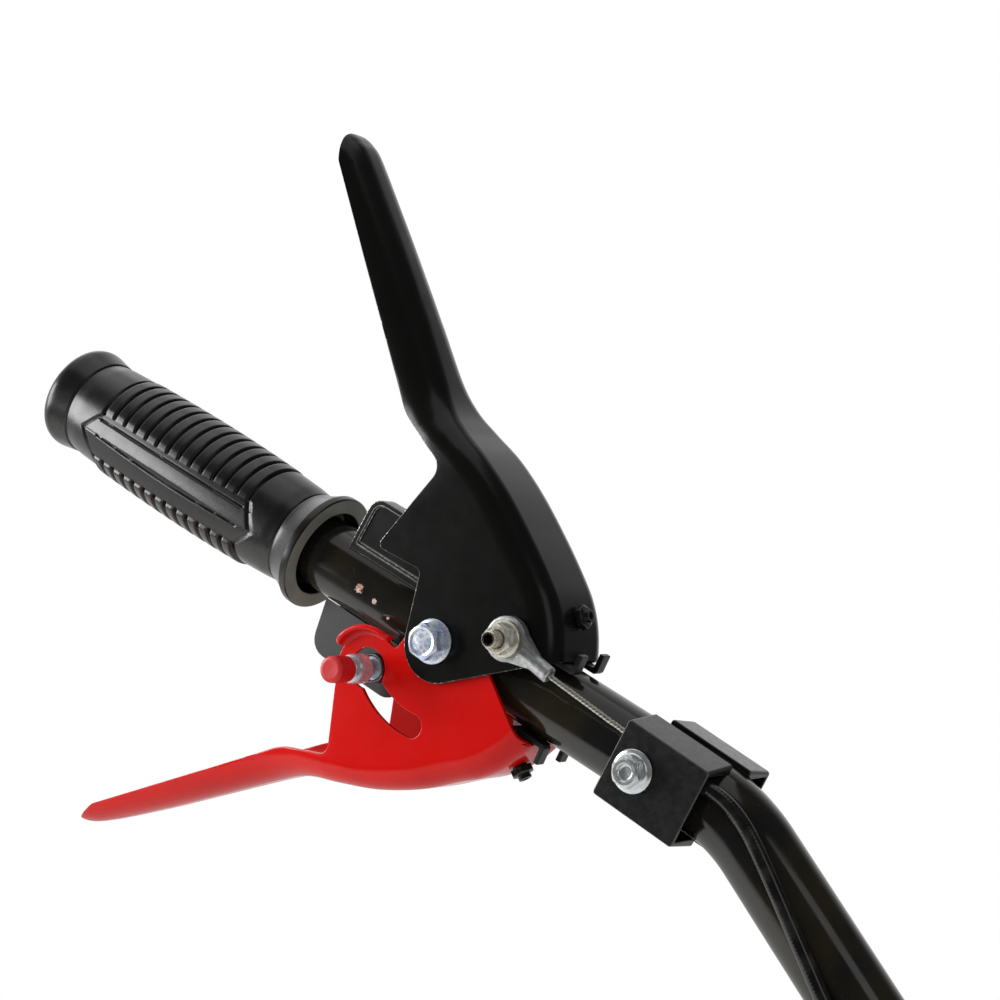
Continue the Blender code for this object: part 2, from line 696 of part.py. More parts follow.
def stop_pad(name, spine_radius, edge, angle, flip, parent, look):
    """The moulded pad inside a lever's nose: a saddle on the tube and two hooked feet round the nose's edge."""
    inside = spine_radius - LEVER_SHEET - PAD_SEAT_GAP
    low = TUBE_RADIUS + 1.0
    back = spine_radius - PAD_DEPTH
    block = [(back, low), (math.sqrt(inside**2 - low**2), low)]
    block += arc((0, 0), inside, math.asin(low / inside), math.radians(46.0), 4)[1:]
    block += [(back - 3.0, low + 16.0), (back - 6.0, low + 7.0)]
    toe = spine_radius + PAD_TOE_GAP
    top = edge - PAD_FOOT_GAP
    sole = top - PAD_SOLE
    root = spine_radius - PAD_FOOT_DEPTH
    foot = [
        (root, sole),
        (toe + PAD_TOE_WIDTH * 0.5, sole),
        (toe + PAD_TOE_WIDTH, sole + 1.2),
        (toe + PAD_TOE_WIDTH, top + PAD_TOE_HEIGHT),
        (toe, top + PAD_TOE_HEIGHT),
        (toe, top),
        (root, top),
    ]
    if flip < 0:
        block = [(x, -z) for x, z in block]
        foot = [(x, -z) for x, z in foot]
    made = prism(name, block, -PAD_HALF_WIDTH, PAD_HALF_WIDTH, parent, look)
    low_foot = prism(f"add_{name}_near_foot", foot, -PAD_FOOT_OUTER, -PAD_FOOT_INNER, parent)
    high_foot = prism(f"add_{name}_far_foot", foot, PAD_FOOT_INNER, PAD_FOOT_OUTER, parent)
    boolean(made, low_foot, "UNION")
    boolean(made, high_foot, "UNION")
    reach = spine_radius + 20.0
    saddle = rod(f"cut_{name}_saddle", TUBE_RADIUS + SEAT_GAP, 20.0, reach, parent, sides=TUBE_SIDES, axis="X")
    screw = rod(f"cut_{name}_screw", PAD_SCREW_RADIUS + SEAT_GAP, back - 4.0, reach, parent, sides=16, axis="X")
    screw.rotation_euler = (0, -angle * flip, 0)
    return cut(made, saddle, screw)


def stop_screw(name, spine_radius, angle, parent, look):
    """The screw that holds a stop pad against the spine, with its hex head outside."""
    seat = spine_radius + SEAT_GAP + 0.4
    tip = spine_radius - PAD_SCREW_DEPTH
    rings = [
        (tip, 0.0),
        (tip, PAD_SCREW_RADIUS),
        (seat, PAD_SCREW_RADIUS),
        (seat, PAD_SCREW_HEX, "hex"),
        (seat + 2.2, PAD_SCREW_HEX, "hex"),
        (seat + 2.6, PAD_SCREW_HEX * 0.45),
        (seat + 2.6, PAD_SCREW_RADIUS),
        (seat + PAD_SCREW_END, PAD_SCREW_RADIUS),
        (seat + PAD_SCREW_END, PAD_SCREW_RADIUS * 0.55),
        (seat + PAD_SCREW_END - 1.6, PAD_SCREW_RADIUS * 0.5),
        (seat + PAD_SCREW_END - 1.6, 0.0),
    ]
    made = stacked(name, rings, parent, look, sides=12, axis="X")
    made.rotation_euler = (0, -angle, 0)
    return made


def cable_stud(name, inner, outer, side, centre, parent, look):
    """The stud riveted in a lever's plate: head inside, collar outside, socket in its free end."""
    collar = outer + SEAT_GAP
    eye = collar + STUD_COLLAR_HEIGHT
    end = eye + 2 * SEAT_GAP + EYE_THICKNESS + STUD_NUT_FLANGE + STUD_NUT_HEIGHT + STUD_END_LENGTH
    head = inner - SEAT_GAP
    rings = [
        (side * (head - STUD_HEAD_HEIGHT), 0.0),
        (side * (head - STUD_HEAD_HEIGHT), STUD_HEAD_RADIUS),
        (side * head, STUD_HEAD_RADIUS),
        (side * head, STUD_RADIUS),
        (side * collar, STUD_RADIUS),
        (side * collar, STUD_COLLAR_RADIUS),
        (side * eye, STUD_COLLAR_RADIUS),
        (side * eye, STUD_RADIUS),
        (side * (end - 0.6), STUD_RADIUS),
        (side * end, STUD_RADIUS - 0.5),
        (side * end, STUD_SOCKET_RADIUS),
        (side * (end - STUD_SOCKET_DEPTH), STUD_SOCKET_RADIUS),
        (side * (end - STUD_SOCKET_DEPTH), 0.0),
    ]
    return stacked(name, rings, parent, look, sides=16, centre=centre)


def stud_nut(name, outer, side, centre, parent, look):
    """The flanged nut that keeps the cable eye on its stud."""
    seat = outer + SEAT_GAP + STUD_COLLAR_HEIGHT + 2 * SEAT_GAP + EYE_THICKNESS
    top = seat + STUD_NUT_FLANGE + STUD_NUT_HEIGHT
    bore = STUD_RADIUS + SEAT_GAP
    rings = [
        (side * seat, bore),
        (side * seat, STUD_NUT_FLANGE_RADIUS),
        (side * (seat + STUD_NUT_FLANGE * 0.7), STUD_NUT_FLANGE_RADIUS),
        (side * (seat + STUD_NUT_FLANGE), STUD_NUT_HEX, "hex"),
        (side * (top - 0.5), STUD_NUT_HEX, "hex"),
        (side * top, STUD_NUT_HEX * 0.46),
        (side * top, bore),
    ]
    return stacked(name, rings, parent, look, centre=centre, open_core=True)


def wire_slope(flip):
    """The angle of a cable wire at rest, from its stud to the clamp's mouth."""
    return math.atan2(CABLE_ENTRY_Z - STUD_Z, CLAMP_NEAR_END - STUD_X) * flip


def along_wire(length, y, angle):
    return Vector((length * math.cos(angle), y, length * math.sin(angle)))


def cable_eye(name, outer, side, flip, parent, look):
    """The die-cast cable eye: a ring on the stud, a taper and a round boss that holds the wire."""
    low = side * (outer + SEAT_GAP + STUD_COLLAR_HEIGHT + SEAT_GAP)
    high = low + side * EYE_THICKNESS
    middle = (low + high) / 2.0
    angle = wire_slope(flip)
    rings = [
        (low, STUD_RADIUS + RUNNING_GAP),
        (low, EYE_RADIUS - 0.5),
        (low + side * 0.5, EYE_RADIUS),
        (high - side * 0.5, EYE_RADIUS),
        (high, EYE_RADIUS - 0.5),
        (high, STUD_RADIUS + RUNNING_GAP),
    ]
    made = stacked(name, rings, parent, look, sides=24, open_core=True)
    spread = math.radians(52.0)
    taper = [(EYE_RADIUS * 0.96 * math.cos(a), EYE_RADIUS * 0.96 * math.sin(a)) for a in (-spread, 0.0, spread)]
    neck = EYE_BOSS_RADIUS - 0.5
    outline = [taper[0], (14.0, -neck), (14.0, neck), taper[2]]
    web = prism(f"add_{name}_web", outline, min(low, high) + 0.1, max(low, high) - 0.1, parent)
    web.rotation_euler = (0, -angle, 0)
    boss_rings = [
        (EYE_RADIUS - 0.7, 0.0),
        (EYE_RADIUS - 0.7, EYE_BOSS_RADIUS),
        (EYE_BOSS_LENGTH - 0.7, EYE_BOSS_RADIUS),
        (EYE_BOSS_LENGTH, EYE_BOSS_RADIUS - 0.7),
        (EYE_BOSS_LENGTH, WIRE_RADIUS + SEAT_GAP),
        (EYE_BOSS_LENGTH - WIRE_SOCKET_DEPTH, WIRE_RADIUS + SEAT_GAP),
        (EYE_BOSS_LENGTH - WIRE_SOCKET_DEPTH, 0.0),
    ]
    boss = stacked(f"add_{name}_boss", boss_rings, parent, sides=16, axis="X", centre=(0, 0, 0))
    boss.location = (0, middle * MM, 0)
    boss.rotation_euler = (0, -angle, 0)
    boolean(made, web, "UNION")
    boolean(made, boss, "UNION")
    return made


def cable_line(name, points, radius, level, parent, look):
    """A round cord through a row of points, with flat ends."""
    data = bpy.data.curves.new(name, "CURVE")
    data.dimensions = "3D"
    data.bevel_depth = radius * MM
    data.bevel_resolution = level
    data.use_fill_caps = True
    line = data.splines.new("POLY")
    line.points.add(len(points) - 1)
    for spot, point in zip(line.points, points):
        spot.co = (*(Vector(point) * MM), 1.0)
    data.materials.append(look)
    made = bpy.data.objects.new(name, data)
    bpy.context.scene.collection.objects.link(made)
    made.parent = parent
    return made


def cable_wire(name, outer, side, flip, parent, look):
    """The inner wire: out of the eye's boss, in towards the tube, and on into the clamp."""
    middle = side * (outer + 2 * SEAT_GAP + STUD_COLLAR_HEIGHT + EYE_THICKNESS / 2.0)
    inside = side * CABLE_ENTRY_Y
    start = EYE_BOSS_LENGTH - WIRE_SOCKET_DEPTH + SEAT_GAP
    angle = wire_slope(flip)
    bend = EYE_BOSS_LENGTH + 1.0
    mouth = (CLAMP_NEAR_END - STUD_X) / math.cos(angle)
    rows = [(start, middle), (bend, middle)]
    rows += [(bend + (mouth - bend) * k / 4.0, middle + (inside - middle) * k / 4.0) for k in (1, 2, 3)]
    rows += [(mouth, inside), (WIRE_REACH, inside)]
    points = [along_wire(length, y, angle) for length, y in spline(rows, 2)]
    return cable_line(name, points, WIRE_RADIUS, 2, parent, look)


def sheath_route(rows, side):
    """Points of a sheath that lies on the tube: rows are (run along the tube, height over its axis)."""
    count = max(2, math.ceil((tube_end_run() - SHEATH_START) / SHEATH_POINT_STEP / (len(rows) - 1)))
    distance = TUBE_RADIUS + SHEATH_RADIUS + SEAT_GAP
    points = []
    for run, height in spline(rows, count):
        place, _, normal = tube_axis(run)
        sideways = math.sqrt(distance**2 - height**2)
        points.append(place + normal * height + Vector((0, side * sideways, 0)))
    return points


def on_clamp(x, z, *radius):
    """A corner of the clamp, which sits on the tube at a slight tilt about its bolt."""
    reach = x - CLAMP_BOLT_X
    cosine, sine = math.cos(CLAMP_TILT), math.sin(CLAMP_TILT)
    return (CLAMP_BOLT_X + reach * cosine + z * sine, z * cosine - reach * sine, *radius)


def clamp_half(name, side, flip, shift, parent, look):
    """One half of the moulded clamp: a block round half of the tube, open at its lower end round the sheath."""
    near_end = CLAMP_NEAR_END + shift
    far_end = near_end + CLAMP_LENGTH
    loops = []
    for y, half_height in ((CLAMP_FACE, CLAMP_HALF_HEIGHT), (CLAMP_INNER_FACE, CLAMP_HALF_HEIGHT + CLAMP_DRAFT)):
        outline = rounded(
            [
                on_clamp(near_end, -half_height, 1.2),
                on_clamp(far_end, -half_height, 1.2),
                on_clamp(far_end, half_height, 1.2),
                on_clamp(near_end, half_height, 1.2),
            ],
            math.radians(45.0),
        )
        loops.append([(x, side * y, z) for x, z in outline])
    made = loft(name, loops, parent, look)
    bore = loft(f"cut_{name}_bore", tube_sections(TUBE_RADIUS + SEAT_GAP, CLAMP_NEAR_END - 5.0, far_end + 5.0), parent)
    pocket_height = CLAMP_HALF_HEIGHT - CLAMP_WALL
    pocket_faces = sorted((side * 2.0, side * (CLAMP_FACE - CLAMP_WALL + 0.6)))
    pocket_outline = [
        on_clamp(far_end - CLAMP_POCKET_DEPTH, -pocket_height),
        on_clamp(far_end + 5.0, -pocket_height),
        on_clamp(far_end + 5.0, pocket_height),
        on_clamp(far_end - CLAMP_POCKET_DEPTH, pocket_height),
    ]
    pocket = prism(f"cut_{name}_pocket", pocket_outline, pocket_faces[0], pocket_faces[1], parent)
    slot_faces = sorted((side * (TUBE_RADIUS + SEAT_GAP - 3.0), side * (CABLE_ENTRY_Y + WIRE_RADIUS + 1.1)))
    slot_low = CABLE_ENTRY_Z - CABLE_ENTRY_PLAY - 2.2
    slot_high = CABLE_ENTRY_Z + CABLE_ENTRY_PLAY
    slot_sides = sorted((flip * slot_low, flip * slot_high))
    slot = box(
        f"cut_{name}_slot",
        (CLAMP_NEAR_END - 5.0, slot_faces[0], slot_sides[0]),
        (far_end - CLAMP_POCKET_DEPTH + 1.0, slot_faces[1], slot_sides[1]),
        parent,
    )
    bolt = rod(
        f"cut_{name}_bolt",
        CLAMP_BOLT_RADIUS + SEAT_GAP,
        -CLAMP_FACE - 5.0,
        CLAMP_FACE + 5.0,
        parent,
        centre=(CLAMP_BOLT_X, 0, 0),
    )
    return cut(made, bore, pocket, slot, bolt)


def flange_bolt(name, radius, face, far_face, nut_height, flange, across, height, centre, parent, look):
    """A flanged hex bolt along Y, with its head on the near side."""
    seat = -face - SEAT_GAP
    end = far_face + SEAT_GAP + nut_height + 2.0
    rings = [
        (end, 0.0),
        (end, radius - 0.5),
        (end - 0.6, radius),
        (seat, radius),
        (seat, flange),
        (seat - 0.7, flange),
        (seat - 1.6, across * 0.62),
        (seat - 1.6, across, "hex"),
        (seat - height + 0.6, across, "hex"),
        (seat - height, across * 0.44),
        (seat - height, 0.0),
    ]
    return stacked(name, rings, parent, look, centre=centre)


def hex_nut(name, radius, face, across, height, centre, parent, look):
    seat = face + SEAT_GAP
    bore = radius + SEAT_GAP
    rings = [
        (seat, bore),
        (seat, across, "hex"),
        (seat + height - 0.5, across, "hex"),
        (seat + height, across * 0.46),
        (seat + height, bore),
    ]
    return stacked(name, rings, parent, look, centre=centre, open_core=True)


def tube_foot_cutter(name, radius, parent):
    return rod(name, radius, BRACKET_LEFT - 20.0, BRACKET_RIGHT + 20.0, parent, sides=TUBE_SIDES, axis="X")


def upper_bracket(parent, look):
    """The pressed plate on top of the tube: a web with a rim that stands proud of it on both sides."""
    foot = math.sqrt(TUBE_RADIUS**2 - BRACKET_RIM_Y**2)
    outer = rounded(
        [
            (BRACKET_LEFT, foot - 3.0),
            (BRACKET_RIGHT, foot - 3.0),
            (BRACKET_RIGHT, UPPER_BRACKET_TOP, BRACKET_CORNER),
            (BRACKET_LEFT + 2.4, UPPER_BRACKET_TOP, BRACKET_CORNER),
        ]
    )
    inner = rounded(
        [
            (BRACKET_LEFT + BRACKET_SHEET, foot - 6.0),
            (BRACKET_RIGHT - BRACKET_SHEET, foot - 6.0),
            (BRACKET_RIGHT - BRACKET_SHEET, UPPER_BRACKET_TOP - BRACKET_SHEET, BRACKET_CORNER - BRACKET_SHEET),
            (BRACKET_LEFT + 2.4 + BRACKET_SHEET, UPPER_BRACKET_TOP - BRACKET_SHEET, BRACKET_CORNER - BRACKET_SHEET),
        ]
    )
    made = prism("upper_bracket", outer, BRACKET_RIM_Y, BRACKET_WEB_Y, parent, look)
    web = BRACKET_RIM_Y + BRACKET_RECESS
    pockets = [
        prism("cut_upper_front", inner, BRACKET_RIM_Y - 5.0, web, parent),
        prism("cut_upper_back", inner, web + BRACKET_SHEET, BRACKET_WEB_Y + 5.0, parent),
    ]
    for side, pocket in zip(("front", "back"), pockets):
        foot = tube_foot_cutter(f"cut_upper_{side}_foot", TUBE_RADIUS + SEAT_GAP + BRACKET_SHEET, parent)
        boolean(pocket, foot, "DIFFERENCE")
    return cut(made, *pockets, tube_foot_cutter("cut_upper_seat", TUBE_RADIUS + SEAT_GAP, parent))


def lower_bracket(parent, look):
    """The plate under the tube that carries the lock's bush, with a foot along the tube."""
    web_low = BRACKET_WEB_Y - BRACKET_SHEET
    outline = rounded(
        [
            (BRACKET_LEFT - 3.2, -9.0),
            (BRACKET_LEFT - 0.4, -LOWER_BRACKET_BOTTOM, BRACKET_CORNER + 1.5),
            (BRACKET_RIGHT, -LOWER_BRACKET_BOTTOM, BRACKET_CORNER),
            (BRACKET_RIGHT, -9.0),
        ]
    )
    made = prism("lower_bracket", outline, web_low, BRACKET_WEB_Y, parent, look)
    foot_depth = TUBE_RADIUS + SEAT_GAP + BRACKET_SHEET
    foot = box(
        "add_lower_foot",
        (BRACKET_LEFT + 2.0, BRACKET_WEB_Y - 0.5, -foot_depth + 0.1),
        (BRACKET_RIGHT, -BRACKET_WEB_Y + 3.0, -9.0),
        parent,
    )
    boolean(made, foot, "UNION")
    seat = tube_foot_cutter("cut_lower_seat", TUBE_RADIUS + SEAT_GAP, parent)
    bush = rod(
        "cut_lock_bush_hole",
        LOCK_BUSH_RADIUS + SEAT_GAP,
        web_low - 5.0,
        BRACKET_WEB_Y + 5.0,
        parent,
        centre=(LOCK_X, 0, LOCK_Z),
    )
    return cut(made, seat, bush)


def lock_parts(root, slider, looks):
    """The lock button on its pin, the bush it slides in and the clip on its tail."""
    plate = -REVERSE_OUTER
    collar_rear = plate - SEAT_GAP - LOCK_TRAVEL
    collar_front = collar_rear - LOCK_COLLAR_LENGTH
    neck_front = collar_front - LOCK_NECK_LENGTH
    bush_front = -REVERSE_INNER + SEAT_GAP
    bush_bore = LOCK_BUSH_RADIUS - LOCK_BUSH_WALL
    bush_floor = BRACKET_WEB_Y - BRACKET_SHEET
    bush_rear = BRACKET_WEB_Y
    shoulder_front = bush_front + 0.4
    shoulder_rear = shoulder_front + LOCK_SHOULDER_LENGTH
    tail_end = bush_rear + 4.2
    clip_front = bush_rear + RUNNING_GAP
    clip_rear = clip_front + LOCK_CLIP_THICKNESS
    here = (LOCK_X, 0, LOCK_Z)
    bush = [
        (bush_front, LOCK_BUSH_RADIUS),
        (bush_front, bush_bore),
        (bush_floor, bush_bore),
        (bush_floor, LOCK_TAIL_RADIUS + RUNNING_GAP),
        (bush_rear, LOCK_TAIL_RADIUS + RUNNING_GAP),
        (bush_rear, LOCK_BUSH_RADIUS),
    ]
    stacked("lock_guide_bush", bush, root, looks["steel"], centre=here, open_core=True)
    pin = [
        (tail_end, 0.0),
        (tail_end, LOCK_TAIL_RADIUS),
        (shoulder_rear, LOCK_TAIL_RADIUS),
        (shoulder_rear, bush_bore - RUNNING_GAP),
        (shoulder_front, bush_bore - RUNNING_GAP),
        (shoulder_front, LOCK_PIN_RADIUS),
        (collar_rear, LOCK_PIN_RADIUS),
        (collar_rear, LOCK_COLLAR_RADIUS),
        (collar_front + 1.4, LOCK_COLLAR_RADIUS),
        (collar_front + 0.4, LOCK_COLLAR_RADIUS - 0.5),
        (collar_front, LOCK_NECK_RADIUS),
        (neck_front, LOCK_NECK_RADIUS),
        (neck_front, LOCK_PIN_RADIUS - SEAT_GAP - 0.4),
        (neck_front - LOCK_CAP_LENGTH + 2.6, LOCK_PIN_RADIUS - SEAT_GAP - 0.4),
        (neck_front - LOCK_CAP_LENGTH + 2.6, 0.0),
    ]
    stacked("lock_pin", pin, slider, looks["zinc"])
    cap_rear = neck_front - SEAT_GAP
    cap_front = cap_rear - LOCK_CAP_LENGTH
    cap = [
        (cap_rear, LOCK_PIN_RADIUS - 0.4),
        (cap_rear, LOCK_CAP_RADIUS - 0.4),
        (cap_rear - 0.4, LOCK_CAP_RADIUS),
        (cap_front + 0.9, LOCK_CAP_RADIUS),
        (cap_front + 0.2, LOCK_CAP_RADIUS - 0.5),
        (cap_front, LOCK_CAP_RADIUS - 1.2),
        (cap_front, 0.0),
    ]
    cap_floor = neck_front - LOCK_CAP_LENGTH + 2.6 - SEAT_GAP
    cap = [(cap_floor, 0.0), (cap_floor, LOCK_PIN_RADIUS - 0.4), *cap]
    stacked("lock_button_cap", cap, slider, looks["red_plastic"])
    clip = [
        (clip_front, LOCK_TAIL_RADIUS + SEAT_GAP),
        (clip_front, LOCK_CLIP_RADIUS),
        (clip_rear, LOCK_CLIP_RADIUS),
        (clip_rear, LOCK_TAIL_RADIUS + SEAT_GAP),
    ]
    stacked("lock_clip", clip, slider, looks["zinc"], open_core=True)


def looks():
    return {
        "tube": material("black_enamel", "232425", 0.28, 0.0),
        "grip": material("grip_rubber", "2a2a2b", 0.5, 0.0),
        "black": material("black_powder_coat", "1c1d1d", 0.42, 0.0),
        "red": material("red_powder_coat", "cf1a14", 0.35, 0.0),
        "red_plastic": material("red_button_plastic", "c8201c", 0.4, 0.0),
        "zinc": material("zinc_plate", "b9bdc4", 0.3, 1.0),
        "cast": material("zinc_casting", "9fa1a0", 0.5, 1.0),
        "steel": material("bare_steel", "5a5a5c", 0.4, 1.0),
        "plastic": material("black_polyamide", "262728", 0.55, 0.0),
        "sheath": material("cable_sheath", "161617", 0.25, 0.0),
        "bracket": material("grey_primer", "3a3b3c", 0.5, 0.0),
    }


def main():
    clear_scene()
    look = looks()
    frame = empty("handlebar_frame", None, (0, 0, 0))
    frame.rotation_euler = (0, TUBE_INCLINE, 0)
    tail, _, _ = tube_axis(tube_end_run())
    frame.location = -(Matrix.Rotation(TUBE_INCLINE, 3, "Y") @ tail) * MM
    drive = empty("drive_lever_pivot", frame, (0, 0, 0))
    reverse = empty("reverse_lever_pivot", frame, (0, 0, 0))
    drive_eye = empty("drive_eye_pivot", drive, (STUD_X, 0, STUD_Z))
    reverse_eye = empty("reverse_eye_pivot", reverse, (STUD_X, 0, -STUD_Z))
    slider = empty("lock_button_slide", frame, (LOCK_X, 0, LOCK_Z))
    here = (0, 0, 0)

    tube(frame, look["tube"])
    grip(frame, look["grip"])
    upper_bracket(frame, look["black"])
    lower_bracket(frame, look["bracket"])
    bush = [
        (-BUSH_END, PIVOT_BOLT_RADIUS + SEAT_GAP),
        (-BUSH_END, PIVOT_BUSH_RADIUS),
        (BUSH_END, PIVOT_BUSH_RADIUS),
        (BUSH_END, PIVOT_BOLT_RADIUS + SEAT_GAP),
    ]
    stacked("pivot_bush", bush, frame, look["steel"], open_core=True)
    flange_bolt(
        "pivot_bolt",
        PIVOT_BOLT_RADIUS,
        DRIVE_OUTER,
        DRIVE_OUTER,
        PIVOT_NUT_HEIGHT,
        PIVOT_FLANGE_RADIUS,
        PIVOT_HEX,
        PIVOT_HEAD_HEIGHT + 1.6,
        here,
        frame,
        look["zinc"],
    )
    hex_nut("pivot_nut", PIVOT_BOLT_RADIUS, DRIVE_OUTER, PIVOT_HEX + 1.0, PIVOT_NUT_HEIGHT, here, frame, look["zinc"])

    clamp_half("clamp_front", -1.0, 1.0, 0.0, frame, look["plastic"])
    clamp_half("clamp_rear", 1.0, -1.0, CLAMP_REAR_SHIFT, frame, look["plastic"])
    at_clamp = (CLAMP_BOLT_X, 0, 0)
    flange_bolt(
        "clamp_bolt",
        CLAMP_BOLT_RADIUS,
        CLAMP_FACE,
        CLAMP_FACE,
        CLAMP_NUT_HEIGHT,
        CLAMP_FLANGE_RADIUS,
        CLAMP_HEX,
        CLAMP_HEAD_HEIGHT + 1.6,
        at_clamp,
        frame,
        look["zinc"],
    )
    hex_nut("clamp_nut", CLAMP_BOLT_RADIUS, CLAMP_FACE, CLAMP_HEX, CLAMP_NUT_HEIGHT, at_clamp, frame, look["zinc"])

    end = tube_end_run()
    near_rows = [(SHEATH_START, 6.6), (123.0, 8.2), (140.0, 6.6), (156.0, 4.3), (178.0, 0.6), (200.0, -2.8), (end, -4.5)]
    far_rows = [(SHEATH_START, -6.2), (123.0, -7.2), (140.0, -8.0), (160.0, -9.0), (185.0, -10.4), (end, -11.0)]
    near_sheath = sheath_route(near_rows, -1.0)
    far_sheath = sheath_route(far_rows, 1.0)
    cable_line("drive_cable_sheath", near_sheath, SHEATH_RADIUS, SHEATH_CORNER_STEPS, frame, look["sheath"])
    cable_line("reverse_cable_sheath", far_sheath, SHEATH_RADIUS, SHEATH_CORNER_STEPS, frame, look["sheath"])

    drive_lever(drive, look["black"])
    stop_pad("drive_stop_pad", DRIVE_NOSE_RADIUS, DRIVE_NOSE_EDGE, DRIVE_SCREW_ANGLE, 1.0, drive, look["plastic"])
    stop_screw("drive_stop_screw", DRIVE_NOSE_RADIUS, DRIVE_SCREW_ANGLE, drive, look["plastic"])
    upper_stud = (STUD_X, 0, STUD_Z)
    cable_stud("drive_cable_stud", DRIVE_INNER, DRIVE_OUTER, -1.0, upper_stud, drive, look["zinc"])
    stud_nut("drive_stud_nut", DRIVE_OUTER, -1.0, upper_stud, drive, look["zinc"])
    cable_eye("drive_cable_eye", DRIVE_OUTER, -1.0, 1.0, drive_eye, look["cast"])
    cable_wire("drive_cable_wire", DRIVE_OUTER, -1.0, 1.0, drive_eye, look["zinc"])

    reverse_lever(reverse, look["red"])
    stop_pad(
        "reverse_stop_pad",
        REVERSE_NOSE_RADIUS,
        REVERSE_NOSE_EDGE,
        REVERSE_SCREW_ANGLE,
        -1.0,
        reverse,
        look["plastic"],
    )
    stop_screw("reverse_stop_screw", REVERSE_NOSE_RADIUS, -REVERSE_SCREW_ANGLE, reverse, look["plastic"])
    lower_stud = (STUD_X, 0, -STUD_Z)
    cable_stud("reverse_cable_stud", REVERSE_INNER, REVERSE_OUTER, 1.0, lower_stud, reverse, look["zinc"])
    stud_nut("reverse_stud_nut", REVERSE_OUTER, 1.0, lower_stud, reverse, look["zinc"])
    cable_eye("reverse_cable_eye", REVERSE_OUTER, 1.0, -1.0, reverse_eye, look["cast"])
    cable_wire("reverse_cable_wire", REVERSE_OUTER, 1.0, -1.0, reverse_eye, look["zinc"])

    lock_parts(frame, slider, look)
    bpy.context.view_layer.update()


main()
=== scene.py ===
"""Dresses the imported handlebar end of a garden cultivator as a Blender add-on that is run as a script.

Most pieces are drawn in the handlebar's own frame, in millimetres: x runs along the tube away from the
grip, y runs away from the side with the lock button, and z stands square to the tube, from the middle of
the lever pivot. The function place() turns them into the world's metres.
"""

import json
import math

import bmesh
import bpy
import numpy as np
from bpy.props import FloatProperty, FloatVectorProperty, IntProperty, PointerProperty
from mathutils import Matrix, Vector


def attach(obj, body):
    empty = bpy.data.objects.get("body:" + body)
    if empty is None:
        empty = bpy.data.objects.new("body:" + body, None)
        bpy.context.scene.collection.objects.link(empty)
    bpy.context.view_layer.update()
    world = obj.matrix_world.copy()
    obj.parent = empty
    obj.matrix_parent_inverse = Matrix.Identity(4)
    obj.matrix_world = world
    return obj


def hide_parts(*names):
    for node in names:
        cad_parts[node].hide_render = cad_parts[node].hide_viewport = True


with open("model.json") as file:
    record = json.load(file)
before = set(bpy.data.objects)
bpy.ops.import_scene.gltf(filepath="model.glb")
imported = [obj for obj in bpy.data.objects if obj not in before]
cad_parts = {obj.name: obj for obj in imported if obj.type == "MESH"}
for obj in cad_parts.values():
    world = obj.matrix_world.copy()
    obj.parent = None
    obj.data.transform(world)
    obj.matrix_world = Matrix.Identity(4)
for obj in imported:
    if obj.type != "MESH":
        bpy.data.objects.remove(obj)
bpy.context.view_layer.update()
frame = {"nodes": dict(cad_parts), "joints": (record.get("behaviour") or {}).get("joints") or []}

bl_info = {
    "name": "Cultivator Handlebar Looks",
    "version": (1, 0, 0),
    "blender": (4, 5, 0),
    "location": "3D View > Sidebar > Handlebar",
    "description": "Dresses a cultivator's handlebar end: grip, levers, lock button, clamp and cables",
    "category": "Object",
}

MM = 0.001
INCLINE = math.radians(28.24)
PIVOT = np.array(frame["joints"][0]["pos_m"])

# The tube, and its axis: a straight, a bend and a tail
TUBE_RADIUS = 14.0
TUBE_WALL = 1.6
TUBE_RIM = 0.3
TUBE_TOP_END = -209.4
BEND_CORNER = 124.2
BEND_ANGLE = math.radians(25.8)
BEND_RADIUS = 62.0
BEND_TANGENT = BEND_RADIUS * math.tan(BEND_ANGLE / 2.0)
BEND_START = BEND_CORNER - BEND_TANGENT
BEND_LENGTH = BEND_RADIUS * BEND_ANGLE
TAIL_LENGTH = 118.0
TUBE_END = BEND_START + BEND_LENGTH + TAIL_LENGTH - BEND_TANGENT

# Chips in the tube's enamel, as places along the tube, angles up from its near side and sizes
CHIPS = ((-42.0, -0.04, 1.7), (-33.6, -0.11, 1.0), (-25.8, -0.31, 0.7))

# The levers: planes of their plates, radii of the cross holes, the cutters' reach, half widths of the nose's
# opening and of the handles, how fast the handles' tips narrow, the radius of the ring round the lock,
# and the keyhole slot's reach from the pivot and half width
REVERSE_INNER = 16.2
REVERSE_OUTER = 18.2
DRIVE_INNER = 18.6
DRIVE_OUTER = 20.6
BUSH_HOLE = 6.8
BOLT_HOLE = 4.3
SMALL_HOLE = 3.3
LOCK_HOLE = 7.7
SCREW_HOLE = 2.8
CUT_REACH = 28.0
NOSE_HALF_OPENING = 10.8
HANDLE_HALF_WIDTH = 15.5
HANDLE_TAPER = 1.2
RING_RADIUS = 13.8
SLOT_ARM = 32.6
SLOT_HALF_WIDTH = 4.4

